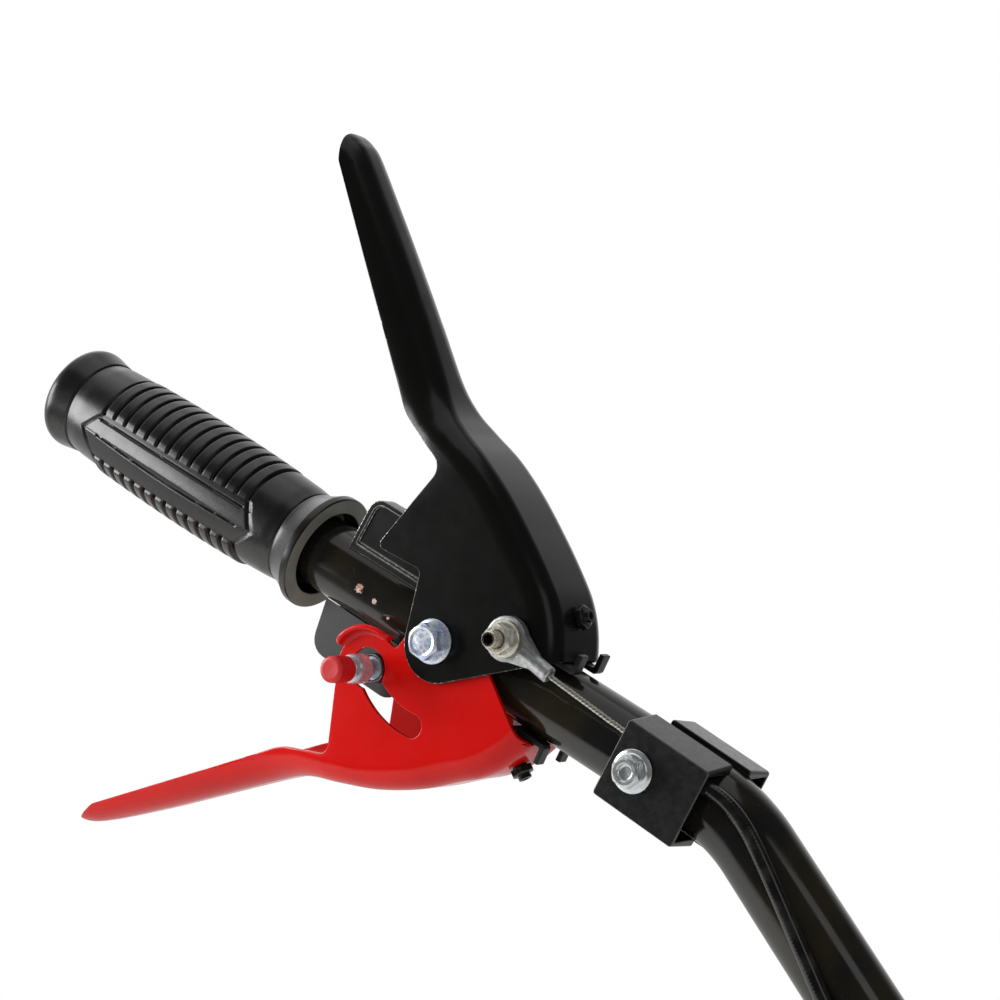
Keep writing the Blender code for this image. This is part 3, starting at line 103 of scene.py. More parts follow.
# The cable ends and the lock
CLAMP_BOLT_X = 91.8
CLAMP_NEAR_END = 81.9
CABLE_ENTRY_Y = 17.0
STUD_X = 29.1
STUD_Z = 16.8
STUD_RADIUS = 3.0
STUD_STANDOFF = 0.3
STUD_COLLAR = 1.0
EYE_GAP = 0.6
EYE_WIDTH = 4.2
NUT_FLANGE = 1.6
NUT_HEIGHT = 4.0
STUD_TIP = 5.0
WIRE_RADIUS = 0.95
WIRE_REACH = 76.0
WIRE_SLOPE = math.atan2(9.0 - STUD_Z, CLAMP_NEAR_END - STUD_X)
SHEATH_RADIUS = 2.7
SHEATH_CLEARANCE = 0.3
COIL_RELIEF = 0.015
LOCK_ARM = 32.0
LOCK_ANGLE = math.radians(226.5)
LOCK_X = LOCK_ARM * math.cos(LOCK_ANGLE)
LOCK_Z = LOCK_ARM * math.sin(LOCK_ANGLE)

# The grip: its ends, its barrel's run and radii, its bore, the radius at which its pattern is measured, its
# ribs and pads, and its panel, with corners as places along the tube and degrees round it
GRIP_OUTER_END = -213.9
GRIP_SWELL_START = -206.9
GRIP_SWELL_END = -76.5
GRIP_INNER_END = -69.8
BARREL_START = -200.0
BARREL_END = -83.3
OUTER_WAIST = 19.4
INNER_WAIST = 18.6
SWELL_RADIUS = 21.3
GRIP_BORE = 14.2
GRIP_FLOOR = -209.9
GIRTH_RADIUS = 20.5
RIB_PITCH = 6.28
RIB_COUNT = 13
FIRST_RIB = -182.3
FIRST_PAD = -183.2
PANEL_START = -181.5
PANEL_LENGTH = 81.0
PANEL = ((-190.0, -12.1), (-181.9, 14.2), (-98.3, 18.4), (-92.2, -10.0), (-98.9, -34.5), (-183.4, -41.0))

# Meshes: merging distances in metres, the angle below which faces count as one plane, the angles above
# which edges are rounded or stay sharp, and the power that blends the sides of a hexagon
MERGE_DISTANCE = 1e-6
LEAST_EDGE = 1e-8
FLAT_ANGLE = math.radians(0.4)
EDGE_ANGLE = math.radians(38.0)
SHARP_ANGLE = math.radians(50.0)
HEX_POWER = 36


def srgb(code):
    """A six-digit sRGB colour as linear RGBA."""
    channels = [int(code[i : i + 2], 16) / 255.0 for i in (0, 2, 4)]
    linear = [c / 12.92 if c <= 0.04045 else ((c + 0.055) / 1.055) ** 2.4 for c in channels]
    return (*linear, 1.0)


def place(points):
    """Points of the handlebar's frame, in millimetres, as world points in metres."""
    cosine, sine = math.cos(INCLINE), math.sin(INCLINE)
    x, y, z = points[..., 0], points[..., 1], points[..., 2]
    return np.stack([x * cosine + z * sine, y, z * cosine - x * sine], -1) * MM + PIVOT


# Outlines and curves


def circle(count):
    """Angles spread evenly over a full turn."""
    return np.arange(count) / count * 2.0 * math.pi


def unit(vectors):
    """Rows of vectors brought to length one."""
    return vectors / np.linalg.norm(vectors, axis=-1, keepdims=True)


def lengths(points):
    """Length along a line at each of its points."""
    return np.concatenate([[0.0], np.cumsum(np.linalg.norm(np.diff(points, axis=0), axis=1))])


def evenly(points, gap):
    """Points spaced evenly along a line through the given ones."""
    length = lengths(points)
    marks = np.linspace(0.0, length[-1], max(2, math.ceil(length[-1] / gap)))
    return np.stack([np.interp(marks, length, points[:, k]) for k in range(3)], -1)


def rounded(corners, step=math.radians(9.0)):
    """A polygon whose corners (x, z, radius) are rounded by arcs tangent to both sides."""
    points = []
    count = len(corners)
    for i, corner in enumerate(corners):
        here = np.array(corner[:2], float)
        if len(corner) < 3:
            points.append(here)
            continue
        back = np.array(corners[i - 1][:2], float) - here
        ahead = np.array(corners[(i + 1) % count][:2], float) - here
        back /= np.linalg.norm(back)
        ahead /= np.linalg.norm(ahead)
        half = math.acos(max(-1.0, min(1.0, float(back @ ahead)))) / 2.0
        middle = here + (back + ahead) / np.linalg.norm(back + ahead) * corner[2] / math.sin(half)
        start = here + back * corner[2] / math.tan(half) - middle
        end = here + ahead * corner[2] / math.tan(half) - middle
        sweep = math.atan2(start[0] * end[1] - start[1] * end[0], float(start @ end))
        turns = np.linspace(0.0, sweep, max(1, math.ceil(abs(sweep) / step)) + 1)
        arms = np.outer(np.cos(turns), start) + np.outer(np.sin(turns), [-start[1], start[0]])
        points.extend(middle + arms)
    return np.array(points)


def smooth_rows(rows, steps):
    """Rows of numbers joined by cubics whose slope at a row is half the way between its neighbours."""
    rows = np.asarray(rows, float)
    index = np.arange(len(rows) - 1)
    a = rows[np.maximum(index - 1, 0)][:, None]
    b = rows[index][:, None]
    c = rows[index + 1][:, None]
    d = rows[np.minimum(index + 2, len(rows) - 1)][:, None]
    t = (np.arange(steps) / steps)[None, :, None]
    curve = 0.5 * (2 * b + (c - a) * t + (2 * a - 5 * b + 4 * c - d) * t**2 + (3 * b - a - 3 * c + d) * t**3)
    return np.concatenate([curve.reshape(-1, rows.shape[1]), rows[-1:]])


def ease(value, low, high):
    """0 up to low, 1 from high on, and a smooth step between."""
    t = np.clip((value - low) / (high - low), 0.0, 1.0)
    return t * t * (3.0 - 2.0 * t)


def tube_axis(run):
    """Middle, direction and upper normal of the tube's axis at lengths along it."""
    turn = np.clip((run - BEND_START) / BEND_LENGTH, 0.0, 1.0) * BEND_ANGLE
    along = np.stack([np.cos(turn), np.zeros_like(turn), -np.sin(turn)], -1)
    normal = np.stack([np.sin(turn), np.zeros_like(turn), np.cos(turn)], -1)
    before = np.minimum(run - BEND_START, 0.0)[:, None]
    after = np.maximum(run - BEND_START - BEND_LENGTH, 0.0)[:, None]
    middle = np.array([BEND_START, 0.0, -BEND_RADIUS]) + normal * BEND_RADIUS + along * (before + after)
    return middle, along, normal


# Meshes and pieces


def link(name, mesh, looks=()):
    """A mesh as an object of the scene, with its looks."""
    mesh.name = name
    for look in looks:
        mesh.materials.append(look)
    made = bpy.data.objects.new(name, mesh)
    bpy.context.scene.collection.objects.link(made)
    return made


def open_mesh(mesh):
    """A mesh opened for editing."""
    bm = bmesh.new()
    bm.from_mesh(mesh)
    return bm


def close_mesh(bm, mesh):
    """Writes an edited mesh back."""
    bm.to_mesh(mesh)
    bm.free()


def tidy(mesh):
    """Merges points that coincide and turns every face outward."""
    bm = open_mesh(mesh)
    bmesh.ops.remove_doubles(bm, verts=bm.verts, dist=MERGE_DISTANCE)
    bmesh.ops.dissolve_degenerate(bm, edges=bm.edges, dist=LEAST_EDGE)
    bmesh.ops.recalc_face_normals(bm, faces=bm.faces)
    close_mesh(bm, mesh)


def merge_flats(mesh):
    """Joins faces that lie in one plane, so that only real edges are left to round."""
    bm = open_mesh(mesh)
    bmesh.ops.remove_doubles(bm, verts=bm.verts, dist=MERGE_DISTANCE)
    bmesh.ops.dissolve_limit(
        bm, angle_limit=FLAT_ANGLE, use_dissolve_boundaries=False, verts=bm.verts, edges=bm.edges
    )
    bmesh.ops.recalc_face_normals(bm, faces=bm.faces)
    close_mesh(bm, mesh)


def add_shell(mesh, extra):
    """Adds a closed shell that laps into a piece's own, and drops its mesh."""
    bm = open_mesh(mesh)
    bm.from_mesh(extra)
    close_mesh(bm, mesh)
    bpy.data.meshes.remove(extra)


def surface(grid, caps=False, ring=False):
    """A skin over a grid of points, rows by columns, each row a closed loop.

    Caps close the first and last row, a ring joins them, and rows that shrink to a point become poles.
    """
    rows, columns = grid.shape[:2]
    index = np.arange(rows * columns).reshape(rows, columns)
    if ring:
        index = np.vstack([index, index[:1]])
    right = np.roll(index, -1, axis=1)
    faces = np.stack([index[:-1], right[:-1], right[1:], index[1:]], -1).reshape(-1, 4).tolist()
    if caps:
        faces += [index[0][::-1].tolist(), index[-1].tolist()]
    mesh = bpy.data.meshes.new("surface")
    mesh.from_pydata(grid.reshape(-1, 3), [], faces)
    tidy(mesh)
    return mesh


def prism(outline, low=-CUT_REACH, high=CUT_REACH):
    """A solid between two planes square to y, with an outline in x and z."""
    loops = np.stack([np.insert(outline, 1, low, axis=1), np.insert(outline, 1, high, axis=1)])
    return surface(place(loops), caps=True)


def turned(rows, centre=(0.0, 0.0), columns=96, fine=0.35):
    """A body turned about a line along y. Rows are (along, radius) or (along, radius, across flats).

    Each point lies at the lesser of the row's radius and the hexagon's, whose sides blend at its corners by
    a power mean: 1 / r**power is the sum of (cos(a - side) / half the flats)**power over sides facing a.
    """
    rows = np.array([(*row, 0.0)[:3] for row in rows], float)
    steps = np.maximum(np.ceil(np.linalg.norm(np.diff(rows[:, :2], axis=0), axis=1) / fine), 1).astype(int)
    shares = np.concatenate([np.arange(n) / n for n in steps] + [[0.0]])
    starts = np.concatenate([np.repeat(np.arange(len(steps)), steps), [len(rows) - 1]])
    ends = np.minimum(starts + 1, len(rows) - 1)
    line = rows[starts] * (1 - shares[:, None]) + rows[ends] * shares[:, None]
    both = (rows[starts, 2] > 0) & (rows[ends, 2] > 0)
    across = np.where(both, line[:, 2], rows[starts, 2] * (shares == 0))
    angles = circle(columns)
    sides = np.arange(6) * math.pi / 3.0 + math.pi / 6.0
    facing = np.clip(np.cos(angles[:, None] - sides), 0.0, None) ** HEX_POWER
    hexagon = 0.5 * facing.sum(1) ** (-1.0 / HEX_POWER)
    limit = np.where(across[:, None] > 0, across[:, None] * hexagon, 1e3)
    radius = np.minimum(line[:, 1:2], limit)
    x = centre[0] + radius * np.cos(angles)
    z = centre[1] + radius * np.sin(angles)
    y = np.broadcast_to(line[:, :1], x.shape)
    return surface(place(np.stack([x, y, z], -1)))


def cross_hole(radius, low=-CUT_REACH, high=CUT_REACH, centre=(0.0, 0.0), columns=64):
    """A cutter along y."""
    return turned([(low, 0.0), (low, radius), (high, radius), (high, 0.0)], centre, columns, 100.0)


def swept(points, radius, columns):
    """A round cord along points, with closed ends. Its radius is a function of (length along, angle)."""
    ahead = unit(np.gradient(points, axis=0))
    side = unit(np.cross(ahead, [0.0, 1.0, 0.0]))
    up = np.cross(side, ahead)
    angles = circle(columns)
    reach = radius(lengths(points)[:, None], angles[None])
    out = np.cos(angles)[None, :, None] * side[:, None] + np.sin(angles)[None, :, None] * up[:, None]
    grid = points[:, None] + out * reach[..., None]
    ends = [np.broadcast_to(points[i], (1, columns, 3)) for i in (0, -1)]
    return surface(place(np.concatenate([ends[0], grid, ends[1]])))


def settle(piece):
    """Writes a piece's modifiers into its mesh."""
    graph = bpy.context.evaluated_depsgraph_get()
    made = bpy.data.meshes.new_from_object(piece.evaluated_get(graph), depsgraph=graph)
    old = piece.data
    piece.modifiers.clear()
    piece.data = made
    bpy.data.meshes.remove(old)
    made.name = piece.name


def carve(piece, tools, how="DIFFERENCE"):
    """Cuts tools from a piece, or keeps what it shares with them, and drops the tools."""
    for mesh in tools:
        tool = link("tool", mesh)
        cut = piece.modifiers.new("cut", "BOOLEAN")
        cut.operation = how
        cut.solver = "EXACT"
        cut.object = tool
        settle(piece)
        bpy.data.objects.remove(tool, do_unlink=True)


def bevel_edges(piece, width):
    """Rounds a piece's sharp edges by a width in millimetres. The rounding takes the piece's last look."""
    bevel = piece.modifiers.new("edges", "BEVEL")
    bevel.width = width * MM
    bevel.segments = 2
    bevel.limit_method = "ANGLE"
    bevel.angle_limit = EDGE_ANGLE
    bevel.use_clamp_overlap = False
    bevel.material = len(piece.data.materials) - 1
    bevel.miter_outer = "MITER_ARC"
    settle(piece)


def weigh_normals(piece):
    """Shades a piece smooth, with normals weighted by its large faces."""
    piece.data.shade_smooth()
    piece.data.set_sharp_from_angle(angle=SHARP_ANGLE)
    weighted = piece.modifiers.new("normals", "WEIGHTED_NORMAL")
    weighted.keep_sharp = True
    settle(piece)


def finish_piece(piece, body, stands_for, sharp=42.0):
    """Shades a piece, ties it to its body, and hides the node it stands for."""
    if sharp:
        piece.data.shade_smooth()
        piece.data.set_sharp_from_angle(angle=math.radians(sharp))
    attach(piece, body)
    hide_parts(stands_for)


def add_piece(name, mesh, looks, body, stands_for, sharp=42.0):
    """A mesh as a finished piece."""
    piece = link(name, mesh, looks)
    finish_piece(piece, body, stands_for, sharp)
    return piece


def copy_mesh(node_name):
    """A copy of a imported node's mesh, without its looks."""
    mesh = frame["nodes"][node_name].data.copy()
    mesh.materials.clear()
    return mesh


def rounded_copy(name, node_name, width, looks, body):
    """A node's shape with its edges rounded as a press or a mould leaves them."""
    piece = link(name, copy_mesh(node_name), looks)
    merge_flats(piece.data)
    bevel_edges(piece, width)
    weigh_normals(piece)
    finish_piece(piece, body, node_name, sharp=None)


# Materials


def node(tree, kind, settings=None, **links):
    """Adds a node, sets its properties and inputs, and links its inputs, named with _ for a space."""
    made = tree.nodes.new(kind)
    for key, value in (settings or {}).items():
        if hasattr(made, key) and key not in made.inputs:
            setattr(made, key, value)
        else:
            made.inputs[key].default_value = value
    for key, socket in links.items():
        tree.links.new(socket, made.inputs[key.replace("_", " ")])
    return made


def feed(tree, socket, value):
    """Links an input to another socket, or sets it to a value."""
    if isinstance(value, bpy.types.NodeSocket):
        tree.links.new(value, socket)
    else:
        socket.default_value = value


def surface_look(name, **constants):
    """A material with one Principled shader, and its tree, shader and object coordinates in metres."""
    material = bpy.data.materials.new(name)
    material.use_nodes = True
    tree = material.node_tree
    tree.nodes.clear()
    settings = {key.replace("_", " "): value for key, value in constants.items()}
    shader = node(tree, "ShaderNodeBsdfPrincipled", settings)
    node(tree, "ShaderNodeOutputMaterial", Surface=shader.outputs["BSDF"])
    spot = node(tree, "ShaderNodeTexCoord").outputs["Object"]
    return material, tree, shader, spot


def noise(tree, spot, size, detail=2.0, roughness=0.5):
    """Noise with features of a size in millimetres."""
    settings = {"Scale": 1.0 / (size * MM), "Detail": detail, "Roughness": roughness, "Distortion": 0.0}
    return node(tree, "ShaderNodeTexNoise", settings, Vector=spot).outputs["Fac"]


def remap(tree, value, low, high, to_low=0.0, to_high=1.0):
    """A value carried smoothly from one range to another."""
    settings = {"From Min": low, "From Max": high, "To Min": to_low, "To Max": to_high}
    settings["interpolation_type"] = "SMOOTHSTEP"
    return node(tree, "ShaderNodeMapRange", settings, Value=value).outputs["Result"]


def blend(tree, share, first, second):
    """Two colours mixed by a share. Each is a colour or a socket."""
    made = node(tree, "ShaderNodeMix", {"data_type": "RGBA"})
    tree.links.new(share, made.inputs["Factor"])
    for key, colour in (("A", first), ("B", second)):
        feed(tree, next(s for s in made.inputs if s.name == key and s.type == "RGBA"), colour)
    return next(s for s in made.outputs if s.type == "RGBA")


def maths(tree, how, first, second=0.0):
    """One arithmetic step on sockets or numbers."""
    made = node(tree, "ShaderNodeMath", {"operation": how})
    feed(tree, made.inputs[0], first)
    feed(tree, made.inputs[1], second)
    return made.outputs[0]


def bump(tree, shader, height, depth, strength=1.0, normal=None):
    """Bumps of a depth in millimetres on a shader. Returns the bump's normal for a second layer."""
    made = node(tree, "ShaderNodeBump", {"Strength": strength, "Distance": depth * MM}, Height=height)
    if normal is not None:
        tree.links.new(normal, made.inputs["Normal"])
    tree.links.new(made.outputs["Normal"], shader.inputs["Normal"])
    return made.outputs["Normal"]


def shade(colour, factor):
    """A colour made lighter or darker by a factor."""
    return tuple(factor * c for c in colour[:3]) + (1.0,)


def layered_look(name, colour, layers, bumps, rough=None, **constants):
    """A look made of noises, each given as (size in millimetres, detail, roughness).

    A layer is (noise, low, high, top, colour): its colour comes in, up to a top share, where the noise rises
    from low to high. A bump is (noise, depth, strength). Rough is (noise, low, high, least, most).
    """
    material, tree, shader, spot = surface_look(name, **constants)
    base = colour
    for grain, low, high, top, over in layers:
        base = blend(tree, remap(tree, noise(tree, spot, *grain), low, high, 0.0, top), base, over)
    tree.links.new(base, shader.inputs["Base Color"])
    normal = None
    for grain, depth, strength in bumps:
        normal = bump(tree, shader, noise(tree, spot, *grain), depth, strength, normal)
    if rough:
        grain, *span = rough
        tree.links.new(remap(tree, noise(tree, spot, *grain), *span), shader.inputs["Roughness"])
    return material


def black_enamel_sprayed(colour):
    """Gloss enamel on steel: orange peel, settled dust, and chips down to primer where the bracket rubs."""
    material, tree, shader, spot = surface_look("black_enamel_sprayed", Roughness=0.12, IOR=1.5)
    cloud = remap(tree, noise(tree, spot, 22.0, 3.0), 0.35, 0.7)
    base = blend(tree, cloud, colour, srgb("231f14"))
    dust = remap(tree, noise(tree, spot, 0.5, 1.0), 0.76, 0.8, 0.0, 0.35)
    base = blend(tree, dust, base, srgb("8c8a84"))
    ragged = maths(tree, "MULTIPLY", noise(tree, spot, 0.8, 3.0), 1.8)
    chips = 0.0
    for x, angle, size in CHIPS:
        middle = place(np.array([x, -TUBE_RADIUS * math.cos(angle), TUBE_RADIUS * math.sin(angle)]))
        reach = node(tree, "ShaderNodeVectorMath", {"operation": "DISTANCE"})
        feed(tree, reach.inputs[0], spot)
        feed(tree, reach.inputs[1], tuple(middle))
        near = maths(tree, "ADD", maths(tree, "DIVIDE", reach.outputs["Value"], size * MM), ragged)
        chips = maths(tree, "MAXIMUM", chips, remap(tree, near, 1.9, 1.75))
    rust = remap(tree, noise(tree, spot, 0.6, 2.0), 0.45, 0.55)
    primer = blend(tree, rust, srgb("cfc4bb"), srgb("a5512f"))
    tree.links.new(blend(tree, chips, base, primer), shader.inputs["Base Color"])
    rough = remap(tree, noise(tree, spot, 9.0, 2.0), 0.3, 0.7, 0.09, 0.16)
    rough = maths(tree, "ADD", rough, maths(tree, "MULTIPLY", chips, 0.4))
    tree.links.new(rough, shader.inputs["Roughness"])
    peel = bump(tree, shader, noise(tree, spot, 2.2, 1.0), 0.008, 0.5)
    bump(tree, shader, maths(tree, "SUBTRACT", 1.0, chips), 0.08, 1.0, peel)
    return material


def grip_rubber_moulded(name, colour, roughness):
    """Soft black rubber from a satin mould: fine grain, faint flow marks and a skin polished by hands."""
    return layered_look(
        name,
        colour,
        layers=[
            ((14.0, 3.0, 0.6), 0.3, 0.75, 1.0, shade(colour, 1.35)),
            ((0.35, 1.0), 0.74, 0.8, 0.5, srgb("5c5b57")),
        ],
        bumps=[((0.35, 2.0), 0.01, 0.8), ((6.0, 2.0), 0.04, 0.4)],
        rough=((5.0, 3.0), 0.3, 0.7, roughness - 0.015, roughness + 0.02),
        Roughness=roughness,
        IOR=1.52,
    )


def powder_coat(name, colour, roughness, peel, fleck_colour, fleck_share):
    """Baked powder coat on pressed sheet: orange peel about a millimetre across and a few lint specks."""
    return layered_look(
        name,
        colour,
        layers=[
            ((30.0, 2.0), 0.3, 0.7, 1.0, shade(colour, 1.12)),
            ((0.55, 1.0), 0.775, 0.8, fleck_share, fleck_colour),
        ],
        bumps=[((1.1, 1.0), peel, 0.7), ((8.0, 1.0), peel * 2.0, 0.5)],
        rough=((7.0, 2.0), 0.3, 0.7, roughness - 0.01, roughness + 0.015),
        Roughness=roughness,
        IOR=1.46,
        Specular_IOR_Level=0.32,
    )


def coat_edge_wear_and_highlight(name, colour, bare_and_glint, share, roughness, patches=0.42):
    """The rounded edge of coated sheet: a coat lighter than the sheet's, with bright glints in patches,
    partly wear through to steel and partly a painted highlight along the edge.
    """
    material, tree, shader, spot = surface_look(name, Roughness=roughness, IOR=1.5)
    # Glints: bright specks for steel worn through and for painted highlights where the edge would catch the
    # light.
    painted_glint = remap(tree, noise(tree, spot, 0.8, 2.0), share, share + 0.04)
    patch = remap(tree, noise(tree, spot, 14.0, 1.0), patches, patches + 0.2)
    wear_and_glint = maths(tree, "MULTIPLY", painted_glint, patch)
    tree.links.new(blend(tree, wear_and_glint, colour, bare_and_glint), shader.inputs["Base Color"])
    tree.links.new(maths(tree, "MULTIPLY", wear_and_glint, 0.9), shader.inputs["Metallic"])
    bump(tree, shader, noise(tree, spot, 0.5, 2.0), 0.02, 0.6)
    return material


def plated_zinc(name, colour, tint, low, high, metal=0.65):
    """Bright zinc plate on formed steel: drawn marks, cloudy passivate and dents that catch the light."""
    return layered_look(
        name,
        colour,
        layers=[
            ((3.6, 3.0, 0.6), 0.35, 0.65, 1.0, tint),
            ((1.3, 2.0), 0.62, 0.8, 0.25, srgb("6f6a60")),
        ],
        bumps=[((0.6, 2.0), 0.003, 0.6), ((2.8, 1.0), 0.015, 0.5)],
        rough=((1.4, 3.0), 0.3, 0.7, low, high),
        Metallic=metal,
        Roughness=0.25,
    )


def zinc_cast(colour):
    """Die-cast zinc as it leaves the tumbler: dull, softly pitted, a little darker in its flow lines."""
    return layered_look(
        "zinc_cast_tumbled",
        colour,
        layers=[((1.8, 3.0, 0.6), 0.35, 0.65, 1.0, shade(colour, 0.72))],
        bumps=[((0.45, 3.0), 0.02, 0.8), ((2.4, 1.0), 0.08, 0.5)],
        rough=((0.9, 2.0), 0.3, 0.7, 0.38, 0.55),
        Metallic=1.0,
        Roughness=0.45,
    )


def steel_turned(name, colour, roughness):
    """Steel turned in a lathe: fine rings round its axis, oiled and slightly stained."""
    material, tree, shader, spot = surface_look(name, Metallic=1.0, Roughness=roughness)
    stain = remap(tree, noise(tree, spot, 2.0, 3.0), 0.4, 0.7)
    tree.links.new(blend(tree, stain, colour, shade(colour, 0.6)), shader.inputs["Base Color"])
    across = node(tree, "ShaderNodeMapping", {"Scale": (0.02, 1.0, 0.02)}, Vector=spot).outputs["Vector"]
    bump(tree, shader, noise(tree, across, 0.25, 2.0), 0.01, 0.8)
    return material


def moulded_plastic(name, colour, roughness, grain, pale):
    """Injection-moulded plastic: fine spark-eroded grain, rubbed paler in patches, with flow streaks."""
    return layered_look(
        name,
        colour,
        layers=[((3.5, 4.0, 0.65), 0.5, 0.85, 0.3, pale)],
        bumps=[((0.3, 2.0), grain, 0.8), ((4.0, 2.0), grain * 2.0, 0.4)],
        rough=((2.2, 3.0), 0.3, 0.7, roughness - 0.03, roughness + 0.04),
        Roughness=roughness,
        IOR=1.53,
    )


def sheath_extruded(colour):
    """Glossy extruded sheath over a wound steel coil, wiped dull here and there."""
    return layered_look(
        "cable_sheath_extruded",
        colour,
        layers=[((6.0, 3.0), 0.4, 0.75, 1.0, srgb("24231f"))],
        bumps=[((1.5, 1.0), 0.02, 0.5)],
        rough=((6.0, 3.0), 0.4, 0.75, 0.12, 0.28),
        Roughness=0.16,
        IOR=1.52,
    )


def wire_drawn(colour):
    """Bright strands of drawn steel with a trace of grease in the lay."""
    return layered_look(
        "wire_drawn_bright",
        colour,
        layers=[((1.6, 2.0), 0.5, 0.7, 0.3, srgb("5d564a"))],
        bumps=[((0.3, 2.0), 0.01, 0.6)],
        Metallic=1.0,
        Roughness=0.3,
    )


def pale_card(colour):
    """Matt white card of the studio floor, with the faint mottle of its fibres."""
    return layered_look(
        "floor_card_matt",
        colour,
        layers=[((3.0, 3.0), 0.3, 0.7, 1.0, shade(colour, 0.985))],
        bumps=[((1.2, 2.0), 0.02, 0.3)],
        Roughness=0.85,
        IOR=1.4,
    )


# Settings


def colour_setting(name, description, code):
    return FloatVectorProperty(
        name=name, description=description, subtype="COLOR", size=4, min=0.0, max=1.0, default=srgb(code)
    )


def size_setting(name, description, default):
    return FloatProperty(name=name, description=f"{description}, in millimetres", default=default, min=0.0)


def count_setting(name, description, default):
    return IntProperty(name=name, description=description, default=default, min=24)


class HandlebarSizes(bpy.types.PropertyGroup):
    rib_bulge: size_setting("Rib bulge", "Height of the grip's upper ribs", 0.35)
    pad_bulge: size_setting("Pad bulge", "Height of the grip's lower pads", 1.1)
    groove_depth: size_setting("Groove depth", "Depth of the grooves between ribs", 1.1)
    grip_rows: count_setting("Grip rows", "Rows of the grip's mesh along the barrel", 350)
    grip_columns: count_setting("Grip columns", "Columns of the grip's mesh round it", 212)
    sheet: size_setting("Lever sheet", "Thickness of the levers' sheet steel", 2.0)
    press_radius: size_setting("Press radius", "Outer radius of the levers' bends", 9.5)
    handle_radius: size_setting("Handle radius", "Outer radius of the bends at the handles", 13.0)
    sheet_edge: size_setting("Sheet edge", "Rounding of the coated sheet's edges", 0.35)
    mould_edge: size_setting("Mould edge", "Rounding of the moulded pieces' edges", 0.4)
    strand_lay: size_setting("Strand lay", "Length in which a wire strand goes round once", 9.0)
    coil_pitch: size_setting("Coil pitch", "Pitch of the coil that shows through the sheaths", 1.3)


class HandlebarColours(bpy.types.PropertyGroup):
    tube: colour_setting("Tube", "Gloss enamel of the tube", "151515")
    grip: colour_setting("Grip", "Rubber of the grip", "0f0f0e")
    # The grip end colour is a pale grey painted on the black rubber's inner end face: a painted highlight
    # for the light falling on it.
    grip_end_painted_light: colour_setting("Grip end", "Trimmed end face of the grip", "6e6e65")
    drive: colour_setting("Drive lever", "Satin coat of the drive lever", "0e0e0d")
    reverse: colour_setting("Reverse lever", "Gloss coat of the reverse lever", "c50804")
    zinc: colour_setting("Zinc plate", "Plate of the bolts", "e2e5ea")
    cast: colour_setting("Die casting", "Zinc of the cable eyes", "c6c8c8")
    plastic: colour_setting("Black plastic", "Clamp and stop pads", "131313")
    primer: colour_setting("Primer", "Lower bracket", "3a3b3c")
    button: colour_setting("Button", "Lock button", "c4161a")
    floor: colour_setting("Floor", "Studio floor", "f0f0ee")


class Builder:
    """What the operators for pieces share: they build from the scene's settings."""

    def execute(self, context):
        self.build(context.scene.handlebar_sizes, context.scene.handlebar_colours)
        return {"FINISHED"}


# Tube and grip


class HANDLEBAR_OT_tube(Builder, bpy.types.Operator):
    """Builds the bent tube with rounded rims and its cross holes"""

    bl_idname = "handlebar.tube"
    bl_label = "Build Tube"

    def build(self, sizes, colours):
        rims = [TUBE_TOP_END, TUBE_TOP_END + TUBE_RIM, TUBE_END - TUBE_RIM, TUBE_END]
        outer = [rims[:2], np.linspace(-60.0, 105.0, 12), np.linspace(108.0, 150.0, 44)]
        outer = np.concatenate([*outer, np.linspace(160.0, rims[2], 8), rims[3:]])
        bore = np.array([*rims[:1:-1], 150.0, 138.0, 124.0, 110.0, *rims[1::-1]])
        outer_radii = np.full(len(outer), TUBE_RADIUS)
        outer_radii[[0, -1]] -= TUBE_RIM
        bore_radii = np.full(len(bore), TUBE_RADIUS - TUBE_WALL)
        bore_radii[[0, -1]] += TUBE_RIM
        middle, _, normal = tube_axis(np.concatenate([outer, bore]))
        radii = np.concatenate([outer_radii, bore_radii])[:, None, None]
        angles = circle(112)[None, :, None]
        out = np.sin(angles) * normal[:, None] + np.cos(angles) * np.array([0.0, 1.0, 0.0])
        mesh = surface(place(middle[:, None] + out * radii), ring=True)
        piece = link("tube_bent", mesh, [black_enamel_sprayed(tuple(colours.tube))])
        holes = ((0.0, BUSH_HOLE), (CLAMP_BOLT_X, SMALL_HOLE))
        carve(piece, [cross_hole(radius, -20.0, 20.0, (x, 0.0), 48) for x, radius in holes])
        finish_piece(piece, "handlebar", "handlebar_tube")


def grip_radius(x):
    """The barrel: a swell of sin(pi t)**0.8 between its two waists."""
    share = np.clip((x - GRIP_SWELL_START) / (GRIP_SWELL_END - GRIP_SWELL_START), 0.0, 1.0)
    waist = OUTER_WAIST + (INNER_WAIST - OUTER_WAIST) * share
    return waist + (SWELL_RADIUS - waist) * np.sin(math.pi * share) ** 0.8


def dome(depth, reach):
    """A rounded rise from 0 at the edge to 1 at a reach inside it."""
    share = np.clip(depth / reach, 0.0, 1.0)
    return (1.0 - (1.0 - share) ** 2) ** 0.5


def groove(distance, half_width):
    """1 within a line's half width, falling softly to 0 over half a millimetre beyond it."""
    return 1.0 - ease(np.abs(distance), half_width, half_width + 0.5)


